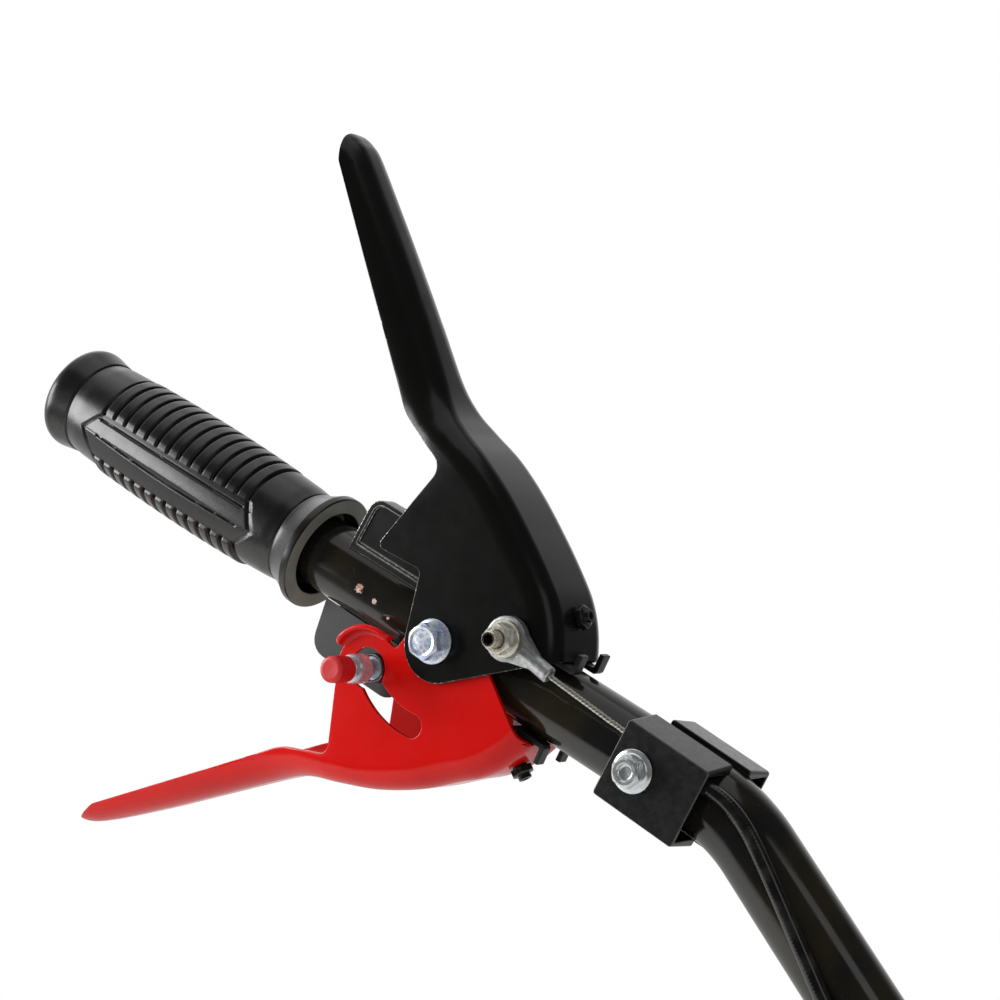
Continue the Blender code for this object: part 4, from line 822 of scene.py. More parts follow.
def ridges(x, past, first, half_width, rise, bulge, depth):
    """Evenly spaced grooves with round ends, and the ridges between them.

    A ridge is a dome across its width that rises over a length as it leaves the band's edge. A groove's
    depth falls off with the distance to its middle line, which ends where past, the distance inside the
    band, is 0.
    """
    k = np.clip(np.round((x - first) / RIB_PITCH), 0, RIB_COUNT)
    away = np.abs(x - first - k * RIB_PITCH)
    inside = (x > first) & (x < first + RIB_COUNT * RIB_PITCH)
    ridge = bulge * dome(away - half_width, 1.5) * ease(past, -0.3, rise) * inside
    return ridge - depth * (1.0 - ease(np.hypot(away, np.minimum(past, 0.0)), half_width, half_width + 0.7))


def chord(angle, middle, half):
    """Height of a flat facet over the round barrel, which it meets at its two edges."""
    off = np.clip(angle - math.radians(middle), -math.radians(half), math.radians(half))
    return GIRTH_RADIUS * (math.cos(math.radians(half)) / np.cos(off) - 1.0)


def grip_relief(x, angle, sizes):
    """Height of the moulded pattern over the barrel: ribs above, pads below and a six-sided panel each side.

    Angles are turned into lengths round a barrel of one radius, from the side's middle line upward.
    """
    tilt = np.arcsin(np.sin(angle))
    degree = GIRTH_RADIUS * math.pi / 180.0
    s = GIRTH_RADIUS * tilt
    share = np.clip((x - PANEL_START) / PANEL_LENGTH, 0.0, 1.0)
    ledge = degree * (14.2 + 4.2 * np.clip((x + 165.0) / 64.0, 0.0, 1.0) ** 2)
    pad_top = degree * (-39.5 + 4.5 * share)
    relief = 0.25 + ridges(x, s - ledge, FIRST_RIB, 0.3, 2.6, sizes.rib_bulge, sizes.groove_depth)
    relief += ridges(x, pad_top - s, FIRST_PAD, 0.55, 1.1, sizes.pad_bulge, sizes.groove_depth)
    corners = np.array(PANEL)
    corners[:, 1] *= degree
    sides = []
    for here, after in zip(corners, np.roll(corners, -1, axis=0)):
        way = (after - here) / np.linalg.norm(after - here)
        sides.append(way[0] * (s - here[1]) - way[1] * (x - here[0]))
    left = np.maximum(sides[0], sides[5])
    right = np.maximum(sides[2], sides[3])
    panel = np.maximum(left, right)
    level = ease(-panel, 0.0, 0.6) * ease(ledge - s, -0.6, 0.3) * ease(s - pad_top, -0.5, 0.5)
    swell = np.sin(math.pi * share)
    upper = degree * (6.4 + 2.4 * share)
    soft = degree * (-11.0 + 3.0 * swell)
    low = degree * (-12.2 - 2.8 * swell)
    facet = chord(tilt, 10.5, 4.5) - 0.1
    facet = np.where(s < upper, 0.25 * chord(tilt, -1.5, 8.5) + 0.15, facet)
    scoop = np.clip((soft - s) / np.maximum(soft - low, 0.1), 0.0, 1.0)
    facet = np.where(s < soft, 0.2 - 0.45 * scoop, facet)
    facet = np.where(s < low, 0.7 * chord(tilt, -26.0, 12.0) + 0.1, facet)
    relief = relief * (1.0 - level) + (facet + 0.25) * level
    below_ledge = 1.0 - ease(s - ledge, -0.2, 0.6)
    relief -= 0.85 * groove(left, 0.25) * ease(s, pad_top - 7.0, pad_top - 6.0) * below_ledge
    ramp = ease(-right, -0.5, 1.6) * (1.0 - ease(-right, 1.6, 2.8))
    relief -= 0.55 * ramp * ease(s, pad_top - 0.6, pad_top) * below_ledge
    inside = ease(x, -182.0, -181.3) * (1.0 - ease(x, -101.4, -100.6))
    relief -= 0.6 * groove(s - upper, 0.2) * inside
    return relief - 0.55 * groove(s - low, 0.15) * inside


def girth_angles(count):
    """Angles round the grip, from straight below, closest together over the side panels' fine grooves."""
    fine = np.linspace(-90.0, 270.0, 1441)
    tilt = np.degrees(np.arcsin(np.sin(np.radians(fine))))
    weight = 1.0 + 2.2 * ease(tilt, -22.0, -19.0) * (1.0 - ease(tilt, 21.0, 25.0))
    weight += 0.8 * ease(tilt, -47.0, -43.0) * (1.0 - ease(tilt, -22.0, -19.0))
    total = np.concatenate([[0.0], np.cumsum(weight[:-1])])
    return np.radians(np.interp(np.arange(count) / count * total[-1], total, fine))


class HANDLEBAR_OT_grip(Builder, bpy.types.Operator):
    """Builds the moulded grip with its ribs, pads and side panels"""

    bl_idname = "handlebar.grip"
    bl_label = "Build Grip"

    def build(self, sizes, colours):
        before, after = self.ends()
        margin = sizes.grip_rows // 12
        barrel = [
            np.linspace(BARREL_START, -184.6, margin)[:-1],
            np.linspace(-184.6, -98.2, sizes.grip_rows - 2 * margin),
            np.linspace(-98.2, BARREL_END, margin)[1:],
        ]
        barrel = np.concatenate(barrel)
        x = np.concatenate([before[:, 0], barrel, after[:, 0]])
        radius = np.concatenate([before[:, 1], grip_radius(barrel), after[:, 1]])
        angles = girth_angles(sizes.grip_columns)
        relief = grip_relief(x[:, None], angles[None], sizes)
        relief *= (ease(x, -200.0, -194.0) * (1.0 - ease(x, -89.0, -83.5)))[:, None]
        reach = radius[:, None] + relief
        x = np.broadcast_to(x[:, None], reach.shape)
        mesh = surface(place(np.stack([x, -reach * np.cos(angles), reach * np.sin(angles)], -1)))
        looks = [
            grip_rubber_moulded("grip_rubber_moulded", tuple(colours.grip), 0.28),
            # Second look: pale grey on the inner end face, a painted highlight standing in for the light on
            # that face.
            grip_rubber_moulded("grip_rubber_end_painted_light", tuple(colours.grip_end_painted_light), 0.5),
        ]
        piece = link("grip_ribbed", mesh, looks)
        # Faces beyond the inner end take the pale look, which paints light onto the end face.
        for polygon in mesh.polygons:
            x, _, z = (np.array(polygon.center) - PIVOT) / MM
            if x * math.cos(INCLINE) - z * math.sin(INCLINE) > GRIP_INNER_END - 0.15:
                polygon.material_index = 1
        finish_piece(piece, "handlebar", "grip", sharp=60.0)

    def ends(self):
        """Profiles of the outer flange, and of the collar, inner flange and bore."""
        flange = [(-213.9, 18.1), (-213.6, 19.7), (-212.7, 21.0), (-211.1, 21.6), (-209.0, 21.6)]
        flange = smooth_rows([*flange, (-204.9, 20.85), (-200.9, 20.15)], 5)
        before = np.concatenate([[(GRIP_OUTER_END, 0.0)], flange, [(-200.65, 19.55), (-200.4, 19.75)]])
        flare = np.linspace(0.0, 1.0, 16)
        collar = np.stack([-82.3 + 9.0 * flare, 19.25 + 3.85 * flare**1.35], 1)
        inner = [
            (-73.2, 22.95),
            (-73.1, 23.3, 0.15),
            (GRIP_INNER_END, 23.3, 0.9),
            (GRIP_INNER_END, 17.2, 0.5),
            (-77.8, 17.0, 0.8),
            (-77.9, GRIP_BORE),
            (GRIP_FLOOR, GRIP_BORE),
            (GRIP_FLOOR, 0.0),
        ]
        return before, np.concatenate([[(-82.9, 19.15), (-82.6, 18.9)], collar, rounded(inner, 0.2)])


# Levers


def nose_stations(radius):
    """Stations round a lever's nose, whose spine is an arc about the pivot."""
    return [
        (radius * math.cos(math.radians(a)), radius * math.sin(math.radians(a)), x, z, 1.0)
        for a, x, z in ((7, 2, -30), (20, -8, -26), (33, -15, -22), (45, -22, -19), (57, -29, -14))
    ]


def ring_corner():
    """The outline's corner whose rounding is the ring about the lock hole."""
    start, end = math.radians(-74.0), math.radians(-199.8)
    half = (end - start) / 2.0
    reach = RING_RADIUS / math.cos(half)
    return (LOCK_X + reach * math.cos(start + half), -LOCK_Z + reach * math.sin(start + half), RING_RADIUS)


# Stations of the channels: x and z of the spine, x and z of the plates' free edges, and the share of the way
# from the handle's half width to the plates' plane. Below 0 the share narrows the handle
DRIVE_STATIONS = [
    *nose_stations(49.3),
    (14.6, 49.7, -36.0, -8.0, 1.0),
    (-1.6, 59.5, -45.0, 3.0, 1.0),
    (-16.8, 66.7, -50.0, 16.0, 1.0),
    (-30.1, 71.3, -52.0, 35.0, 0.8),
    (-40.2, 75.8, -55.0, 50.0, 0.45),
    (-50.6, 83.5, -63.0, 62.0, 0.12),
    (-69.7, 100.1, -82.0, 83.0, 0.0),
    (-90.0, 117.0, -102.0, 101.0, -0.3),
    (-110.0, 133.0, -121.0, 119.0, -0.6),
    (-124.0, 143.9, -134.0, 132.0, -0.6),
    (-129.6, 146.9, -139.5, 135.8, -0.9),
    (-133.4, 148.0, -143.6, 137.6, -1.5),
    (-135.8, 147.9, -146.3, 138.0, -2.7),
]
REVERSE_STATIONS = [
    *nose_stations(51.0),
    (15.0, 53.3, -36.0, -8.0, 1.0),
    (-1.0, 62.9, -45.0, 3.0, 1.0),
    (-17.0, 69.5, -50.0, 16.0, 1.0),
    (-29.0, 74.0, -50.0, 38.0, 0.8),
    (-38.0, 79.3, -53.0, 56.0, 0.45),
    (-49.0, 88.3, -60.0, 71.0, 0.12),
    (-67.0, 104.3, -77.0, 89.0, 0.0),
    (-86.0, 121.2, -95.0, 107.0, -0.3),
    (-103.0, 135.7, -111.0, 122.0, -0.6),
    (-113.5, 144.2, -123.0, 132.0, -0.6),
    (-119.6, 148.4, -129.0, 137.0, -1.1),
    (-123.4, 149.8, -133.2, 138.9, -1.5),
    (-125.7, 149.7, -135.8, 139.5, -2.7),
]

# Side outlines of the levers, as x, z and the radius of a corner
DRIVE_OUTLINE = [
    (64.3, 16.6),
    (46.4, 16.6, 1.5),
    (-7.0, -25.0, 14.0),
    (-17.2, 20.0, 2.5),
    (-38.6, 18.8, 2.4),
    (-26.8, 56.9, 5.5),
    (-53.2, 66.6, 20.0),
    (-128.3, 137.6, 6.0),
    (-137.0, 152.0),
    (-145.0, 190.0),
    (64.3, 190.0),
]
REVERSE_OUTLINE = [
    (66.0, 15.6),
    (46.5, 15.6, 12.0),
    (-7.0, -23.5, 14.0),
    (-14.4, 11.4, 1.9),
    ring_corner(),
    (-23.0, 60.2, 4.0),
    (-44.0, 68.5, 22.0),
    (-93.8, 115.6),
    (-117.4, 137.7, 5.0),
    (-125.6, 152.0),
    (-136.0, 190.0),
    (66.0, 190.0),
]


def pressed_channel(stations, plate, flip, sizes):
    """A channel pressed from sheet along a curved spine.

    Half a section runs from its free edge (w, depth) round the bend, y = w - r + r cos a and
    depth = t + r - r sin a for a quarter turn; the inner skin is the same with w and r less by the sheet.
    """
    rows = smooth_rows(stations, 8)
    spine, edge = rows[:, 0:2], rows[:, 2:4]
    along = unit(np.gradient(spine, axis=0))
    way = edge - spine
    depth = np.linalg.norm(way, axis=1)
    way /= depth[:, None]
    tilt = np.maximum(np.abs(way[:, 0] * along[:, 1] - way[:, 1] * along[:, 0]), 0.5)
    share = rows[:, 4]
    widening = np.where(share >= 0.0, (plate - HANDLE_HALF_WIDTH) * share, HANDLE_TAPER * share)
    width = HANDLE_HALF_WIDTH + widening
    bend = sizes.press_radius + (sizes.handle_radius - sizes.press_radius) * (1.0 - np.maximum(share, 0.0))
    angle = np.linspace(0.0, math.pi / 2.0, 13)
    skins = []
    for inset in (0.0, sizes.sheet):
        half = (width - inset)[:, None]
        radius = np.maximum(np.minimum(bend, width * 0.85) - inset, 0.4)[:, None]
        top = (inset / tilt)[:, None]
        y = np.concatenate([half, half - radius + radius * np.cos(angle)], 1)
        d = np.concatenate([depth[:, None], top + radius - radius * np.sin(angle)], 1)
        skins.append((np.concatenate([-y, y[:, ::-1]], 1), np.concatenate([d, d[:, ::-1]], 1)))
    y, d = (np.concatenate([outer, inner[:, ::-1]], 1) for outer, inner in zip(*skins))
    x = spine[:, :1] + way[:, :1] * d
    z = (spine[:, 1:] + way[:, 1:] * d) * flip
    return surface(place(np.stack([x, y, z], -1)), caps=True)


def spine_cutter(angle, flip):
    """A cutter for the stop screw's hole: a cylinder from the pivot's axis out through the nose."""
    turns = circle(32)
    out = np.array([math.cos(angle), 0.0, math.sin(angle) * flip])
    side = np.array([-math.sin(angle) * flip, 0.0, math.cos(angle)])
    ring = np.cos(turns)[:, None] * side + np.sin(turns)[:, None] * np.array([0.0, 1.0, 0.0])
    loops = np.stack([ring * SCREW_HOLE + out * reach for reach in (34.0, 60.0)])
    return surface(place(loops), caps=True)


def lock_slot():
    """The keyhole's slot: an arc about the pivot with a round end."""
    end = math.radians(278.5)
    sweep = np.linspace(LOCK_ANGLE, end, 24)
    tip = np.linspace(end, end + math.pi, 20)[1:-1]
    outer, inner, cap = (
        radius * np.stack([np.cos(turn), np.sin(turn)], 1)
        for radius, turn in (
            (SLOT_ARM + SLOT_HALF_WIDTH, sweep),
            (SLOT_ARM - SLOT_HALF_WIDTH, sweep),
            (SLOT_HALF_WIDTH, tip),
        )
    )
    middle = SLOT_ARM * np.array([math.cos(end), math.sin(end)])
    return np.concatenate([outer, middle + cap, inner[::-1]])


def ring_lip():
    """The lip turned up from the ring round the lock hole.

    Its section is a strip of the sheet's thickness along a path that leaves the plate outward, bends a
    quarter turn toward the near side and flares; it is swept about the lock hole, and its height falls to
    the plate at both ends.
    """
    plate_y, bend_radius, half_sheet = -17.2, 3.4, 0.99
    bend = np.linspace(0.0, math.pi / 2.0 - 0.25, 10)
    out = 11.6 + bend_radius * np.sin(bend)
    middle = np.stack([out, plate_y - bend_radius + bend_radius * np.cos(bend)], 1)
    middle = np.concatenate([middle, middle[-1:] + np.array([[0.42, -1.65]])])
    way = unit(np.gradient(middle, axis=0))
    normal = np.stack([-way[:, 1], way[:, 0]], 1)
    tip = np.linspace(-math.pi / 2.0, math.pi / 2.0, 7)[1:-1, None]
    cap = middle[-1] + half_sheet * (np.cos(tip) * way[-1] - np.sin(tip) * normal[-1])
    section = np.concatenate([middle + normal * half_sheet, cap, (middle - normal * half_sheet)[::-1]])
    sweep = np.radians(np.linspace(74.0, 174.0, 64))[:, None]
    height = np.sqrt(1.0 - np.abs(np.linspace(-1.0, 1.0, 64)) ** 6)[:, None]
    x = LOCK_X + section[None, :, 0] * np.cos(sweep)
    z = LOCK_Z + section[None, :, 0] * np.sin(sweep)
    y = plate_y + (section[None, :, 1] - plate_y) * height
    return surface(place(np.stack([x, y, z], -1)), caps=True)


class HANDLEBAR_OT_levers(Builder, bpy.types.Operator):
    """Builds the pressed drive lever and the reverse lever with its keyhole and lip"""

    bl_idname = "handlebar.levers"
    bl_label = "Build Levers"

    def build(self, sizes, colours):
        looks = [
            powder_coat("black_powder_coat_satin", tuple(colours.drive), 0.21, 0.005, srgb("45443e"), 0.4),
            # The drive lever's edge look: a slightly lighter coat with pale glints on the bevels, partly
            # wear and partly a painted highlight.
            coat_edge_wear_and_highlight("black_powder_coat_edge_wear_and_highlight", srgb("1f1f1e"), srgb("c9c8c2"), 0.58, 0.3),
        ]
        channel = pressed_channel(DRIVE_STATIONS, DRIVE_OUTER, 1.0, sizes)
        cuts = [
            cross_hole(SMALL_HOLE, -CUT_REACH, -14.6, (STUD_X, STUD_Z)),
            self.end_cut(34.0, 64.0, 16.6),
            spine_cutter(math.radians(38.0), 1.0),
        ]
        self.press("drive", "black_powder_coat", looks, channel, rounded(DRIVE_OUTLINE), cuts, sizes)
        looks = [
            powder_coat("red_powder_coat_gloss", tuple(colours.reverse), 0.2, 0.006, srgb("e0502f"), 0.25),
            # The reverse lever's edge look: a lighter red with pale glints on the bevels, partly wear and
            # partly a painted highlight.
            coat_edge_wear_and_highlight("red_powder_coat_edge_wear_and_highlight", srgb("d5130c"), srgb("ece6df"), 0.68, 0.2),
        ]
        channel = pressed_channel(REVERSE_STATIONS, REVERSE_OUTER, -1.0, sizes)
        outline = rounded(REVERSE_OUTLINE) * np.array([1.0, -1.0])
        side = [(-21.2, -57.4, 4.0), (-28.6, -34.0, 8.0), (-28.6, -14.0, 8.0)]
        cuts = [
            cross_hole(SMALL_HOLE, 12.2, CUT_REACH, (STUD_X, -STUD_Z)),
            cross_hole(LOCK_HOLE, -CUT_REACH, -12.2, (LOCK_X, LOCK_Z)),
            prism(lock_slot(), high=-12.2),
            prism(rounded([(-70.0, -57.4), *side, (-70.0, -14.0)]), 12.2, 24.0),
            self.end_cut(35.7, 65.0, -15.6),
            spine_cutter(math.radians(33.5), -1.0),
        ]
        self.press("reverse", "red_powder_coat", looks, channel, outline, cuts, sizes, ring_lip())

    def end_cut(self, start, end, edge):
        """A cutter that opens the nose between the plates, from the pivot's level to the nose's edge."""
        corners = np.array([(start, 0.0), (end, 0.0), (end, edge), (start, edge)])
        return prism(corners, -NOSE_HALF_OPENING, NOSE_HALF_OPENING)

    def press(self, lever, slot, looks, channel, outline, cuts, sizes, lip=None):
        """Trims a channel to its outline, cuts its holes, rounds its edges and adds its lip."""
        piece = link(f"{lever}_lever_pressed", channel, looks)
        carve(piece, [prism(outline)], "INTERSECT")
        carve(piece, [cross_hole(BOLT_HOLE), *cuts])
        merge_flats(piece.data)
        bevel_edges(piece, sizes.sheet_edge)
        if lip:
            add_shell(piece.data, lip)
        weigh_normals(piece)
        finish_piece(piece, f"{lever}_lever_group", f"{lever}_lever", sharp=None)


# Hardware


class HANDLEBAR_OT_brackets(Builder, bpy.types.Operator):
    """Rounds the edges of the two brackets on the tube and coats them"""

    bl_idname = "handlebar.brackets"
    bl_label = "Build Brackets"

    def build(self, sizes, colours):
        coat = powder_coat("bracket_black_powder_coat", srgb("131414"), 0.22, 0.006, srgb("4a4944"), 0.5)
        # The black bracket's edges are painted pale grey with glints nearly all along: a painted highlight
        # on the edge.
        edge = coat_edge_wear_and_highlight("bracket_black_edge_painted_highlight", srgb("6a6b6a"), srgb("c9c8c2"), 0.5, 0.2, 0.3)
        primer = powder_coat("bracket_grey_primer", tuple(colours.primer), 0.42, 0.015, srgb("7a7b7b"), 0.4)
        # The primer bracket's edges are painted lighter grey with glints: partly wear, partly a painted
        # highlight.
        bare_and_glint = coat_edge_wear_and_highlight("bracket_primer_edge_wear_and_highlight", srgb("565757"), srgb("b9b8b4"), 0.6, 0.35)
        for where, looks, slot in (
            ("upper", [coat, edge], "black_powder_coat"),
            ("lower", [primer, bare_and_glint], "grey_primer"),
        ):
            name = f"{where}_bracket"
            rounded_copy(f"{name}_pressed", name, sizes.sheet_edge, looks, "handlebar")


def bolt_rows(seat, end, shank, flange, across, height, crown):
    """Profile of a flange bolt from its far tip to the middle of its head, which lies on the near side."""
    corner = across / math.sqrt(3.0)
    top = seat - height
    body = [(end, 0.0), (end, shank - 0.5), (end - 0.6, shank), (seat, shank)]
    rim = [(seat, flange - 0.25), (seat - 0.2, flange), (seat - 0.65, flange), (seat - 0.85, flange - 0.2)]
    cone = [(seat - 1.25, flange - 1.3), (seat - 1.7, corner + 0.15), (seat - 1.9, corner - 0.02, across)]
    hexagon = [(top + 1.0, corner - 0.02, across), (top + 0.35, corner - 0.95, across)]
    return [*body, *rim, *cone, *hexagon, (top, across * 0.43, across), *crown]


def nut_rows(seat, bore, across, height):
    """Profile of a hexagon nut on the far side, from its seat round its outside and back by its bore."""
    corner = across / math.sqrt(3.0)
    top = seat + height
    outside = [(seat, across * 0.46, across), (seat + 0.5, corner, across), (top - 0.7, corner, across)]
    inside = [(top, bore + 0.5), (top - 0.5, bore), (seat, bore)]
    return [(seat, bore), *outside, (top, across * 0.44, across), *inside]


class HANDLEBAR_OT_bolts(Builder, bpy.types.Operator):
    """Turns the pivot and clamp bolts, their nuts and the pivot bush"""

    bl_idname = "handlebar.bolts"
    bl_label = "Build Bolts"

    def build(self, sizes, colours):
        zinc = tuple(colours.zinc)
        bright = plated_zinc("zinc_plate_blue_bright", zinc, srgb("b9c9e6"), 0.2, 0.34)
        dull = plated_zinc("zinc_plate_clear", zinc, srgb("cfd5d2"), 0.17, 0.27, 0.78)
        crown = [(-27.75, 4.7), (-27.6, 4.2), (-27.7, 2.0), (-27.75, 0.0)]
        pivot_rows = bolt_rows(-20.9, 29.1, 4.0, 8.2, 12.0, 7.0, crown)
        crown = [(-26.95, 3.3), (-26.6, 2.9), (-25.6, 2.7), (-25.3, 2.2), (-25.1, 0.0)]
        clamp_rows = bolt_rows(-20.8, 27.8, 3.0, 7.6, 10.0, 6.2, crown)
        for name, rows, x, look in (
            ("pivot_bolt", pivot_rows, 0.0, bright),
            ("clamp_bolt", clamp_rows, CLAMP_BOLT_X, dull),
            ("pivot_nut", nut_rows(20.9, BOLT_HOLE, 13.0, 6.2), 0.0, bright),
            ("clamp_nut", nut_rows(20.8, SMALL_HOLE, 10.0, 5.0), CLAMP_BOLT_X, dull),
        ):
            mesh = turned(rows, (x, 0.0), 144)
            add_piece(f"{name}_formed", mesh, [look], "handlebar", name, sharp=34.0)
        half, bore, outside, chamfer = 15.9, 4.5, 6.5, 0.3
        rows = [(-half, bore), (-half, outside - chamfer), (-half + chamfer, outside)]
        rows += [(half - chamfer, outside), (half, outside - chamfer), (half, bore), (-half, bore)]
        steel = steel_turned("steel_turned", srgb("8f8f90"), 0.35)
        add_piece("pivot_bush_turned", turned(rows), [steel], "handlebar", "pivot_bush")


class HANDLEBAR_OT_cable_ends(Builder, bpy.types.Operator):
    """Builds the studs, flanged nuts, cast cable eyes and stranded wires"""

    bl_idname = "handlebar.cable_ends"
    bl_label = "Build Cable Ends"

    def build(self, sizes, colours):
        steel = plated_zinc("stud_zinc_plate", srgb("d0ccc2"), srgb("b5ac9b"), 0.22, 0.36)
        warm = plated_zinc("nut_zinc_plate_warm", srgb("d6d4c9"), srgb("c3beac"), 0.2, 0.34)
        # Dark brown look for the walls of the socket in each stud's end.
        dark = steel_turned("socket_dark_brown", srgb("3a2e24"), 0.5)
        cast = zinc_cast(tuple(colours.cast))
        wire_look = wire_drawn(srgb("c6c3ba"))
        for lever, inner, outer, side, flip in (
            ("drive", DRIVE_INNER, DRIVE_OUTER, -1.0, 1.0),
            ("reverse", REVERSE_INNER, REVERSE_OUTER, 1.0, -1.0),
        ):
            self.stud(lever, inner, outer, side, flip, [steel, dark])
            self.nut(lever, outer, side, flip, [warm])
            self.eye(lever, [cast])
            self.wire(lever, outer, side, flip, sizes, [wire_look])

    def stud(self, lever, inner, outer, side, flip, looks):
        """A stud with a head behind the plate, a collar in front of it and a dark socket in its end."""
        collar = outer + STUD_STANDOFF
        tip = collar + STUD_COLLAR + EYE_GAP + EYE_WIDTH + NUT_FLANGE + NUT_HEIGHT + STUD_TIP
        head = [(inner - 1.9, 0.0), (inner - 1.9, 5.2), (inner - 1.6, 5.5)]
        head += [(inner - 0.3, 5.5), (inner - 0.3, STUD_RADIUS)]
        ring = [(collar, STUD_RADIUS), (collar, 5.0), (collar + STUD_COLLAR, 5.0)]
        shank = [(collar + STUD_COLLAR, STUD_RADIUS), (tip - 0.5, STUD_RADIUS), (tip, 2.5)]
        socket = [(tip, 2.2, 3.5), (tip - 3.5, 2.2, 3.5), (tip - 3.9, 0.0)]
        centre = (STUD_X, STUD_Z * flip)
        mesh = turned([(side * along, *rest) for along, *rest in head + ring + shank + socket], centre)
        axis = place(np.array([centre[0], 0.0, centre[1]]))
        for face in mesh.polygons:
            x, y, z = np.array(face.center) - axis
            if side * y > (tip - 4.2) * MM and math.hypot(x, z) < 2.28 * MM:
                face.material_index = 1
        group, node_name = f"{lever}_lever_group", f"{lever}_cable_stud"
        add_piece(f"{lever}_stud_turned", mesh, looks, group, node_name, sharp=34.0)

    def nut(self, lever, outer, side, flip, looks):
        """A flanged nut that holds the cable eye on its stud."""
        seat = outer + STUD_STANDOFF + STUD_COLLAR + EYE_GAP + EYE_WIDTH
        top = seat + NUT_FLANGE + NUT_HEIGHT
        flange = [(seat, 3.3), (seat, 6.4), (seat + 0.2, 6.6), (seat + 0.9, 6.6), (seat + 1.1, 6.45)]
        hexagon = [(seat + NUT_FLANGE, 5.85), (seat + 1.7, 5.75, 10.0), (top - 0.9, 5.75, 10.0)]
        bore = [(top, 4.5, 10.0), (top, 3.7), (top - 0.4, 3.3), (seat, 3.3)]
        rows = [(side * along, *rest) for along, *rest in flange + hexagon + bore]
        mesh = turned(rows, (STUD_X, STUD_Z * flip), 144)
        group, node_name = f"{lever}_lever_group", f"{lever}_stud_nut"
        add_piece(f"{node_name}_formed", mesh, looks, group, node_name, sharp=34.0)

    def eye(self, lever, looks):
        """The node's ring, web and boss, remeshed finely and smoothed, so that they flow as cast."""
        node_name = f"{lever}_cable_eye"
        piece = link(f"{lever}_eye_cast", copy_mesh(node_name))
        tidy(piece.data)
        remesh = piece.modifiers.new("cast", "REMESH")
        remesh.mode = "VOXEL"
        remesh.voxel_size = 0.24 * MM
        soften = piece.modifiers.new("soften", "SMOOTH")
        soften.factor = 0.6
        soften.iterations = 5
        settle(piece)
        piece.data.materials.append(looks[0])
        finish_piece(piece, f"{lever}_cable_end", node_name, sharp=80.0)

    def wire(self, lever, outer, side, flip, sizes, looks):
        """Six strands round a core: the radius falls by a fifth between strands, which wind once a lay."""
        middle = side * (outer + EYE_GAP + STUD_COLLAR + EYE_WIDTH / 2.0)
        inside = side * CABLE_ENTRY_Y
        leave, mouth = 22.5, (CLAMP_NEAR_END - STUD_X) / math.cos(WIRE_SLOPE)
        rows = [(16.8, middle), (leave, middle)]
        for k in (1, 2, 3):
            rows.append((leave + (mouth - leave) * k / 4.0, middle + (inside - middle) * k / 4.0))
        line = smooth_rows([*rows, (mouth, inside), (WIRE_REACH, inside)], 8)
        slope = WIRE_SLOPE * flip
        x = STUD_X + line[:, 0] * math.cos(slope)
        z = STUD_Z * flip + line[:, 0] * math.sin(slope)

        def strands(length, angle):
            turn = angle * 3.0 - length / sizes.strand_lay * 6.0 * math.pi
            return WIRE_RADIUS * (0.8 + 0.2 * np.abs(np.sin(turn)))

        mesh = swept(evenly(np.stack([x, line[:, 1], z], 1), 0.35), strands, 48)
        body, node_name = f"{lever}_cable_end", f"{lever}_cable_wire"
        add_piece(f"{lever}_wire_stranded", mesh, looks, body, node_name, sharp=70.0)


class HANDLEBAR_OT_clamp(Builder, bpy.types.Operator):
    """Rounds the two moulded halves of the cable clamp"""

    bl_idname = "handlebar.clamp"
    bl_label = "Build Clamp"

    def build(self, sizes, colours):
        black = tuple(colours.plastic)
        plastic = moulded_plastic("clamp_polyamide_moulded", black, 0.3, 0.006, srgb("2c2c2a"))
        # The edge look paints the halves' rounded edges a lighter grey: a painted highlight along the edges.
        edge = moulded_plastic("clamp_polyamide_edge_painted_highlight", srgb("3d3d38"), 0.26, 0.006, srgb("5a5a55"))
        for node_name in ("clamp_front", "clamp_rear"):
            name, looks = f"{node_name}_moulded", [plastic, edge]
            rounded_copy(name, node_name, sizes.mould_edge, looks, "handlebar")


class HANDLEBAR_OT_sheaths(Builder, bpy.types.Operator):
    """Builds the two cable sheaths that lie along the tube"""

    bl_idname = "handlebar.sheaths"
    bl_label = "Build Sheaths"

    def build(self, sizes, colours):
        look = sheath_extruded(srgb("0f0f10"))
        near = [(107.0, 6.6), (123.0, 8.2), (140.0, 6.6), (156.0, 4.3), (178.0, 0.6), (200.0, -2.8)]
        far = [(107.0, -6.2), (123.0, -7.2), (140.0, -8.0), (160.0, -9.0), (185.0, -10.4)]
        near.append((TUBE_END, -4.5))
        far.append((TUBE_END, -11.0))

        def coil(length, angle):
            wave = np.cos(2.0 * math.pi * length / sizes.coil_pitch)
            return SHEATH_RADIUS - COIL_RELIEF + COIL_RELIEF * wave

        for name, rows, side in (("drive", near, -1.0), ("reverse", far, 1.0)):
            line = smooth_rows(rows, 12)
            middle, _, normal = tube_axis(line[:, 0])
            distance = TUBE_RADIUS + SHEATH_RADIUS + SHEATH_CLEARANCE
            sideways = side * np.sqrt(distance**2 - line[:, 1] ** 2)
            points = middle + normal * line[:, 1:2] + sideways[:, None] * np.array([0.0, 1.0, 0.0])
            mesh = swept(evenly(points, 0.26), coil, 40)
            piece, node_name = f"{name}_sheath_extruded", f"{name}_cable_sheath"
            add_piece(piece, mesh, [look], "handlebar", node_name, sharp=70.0)


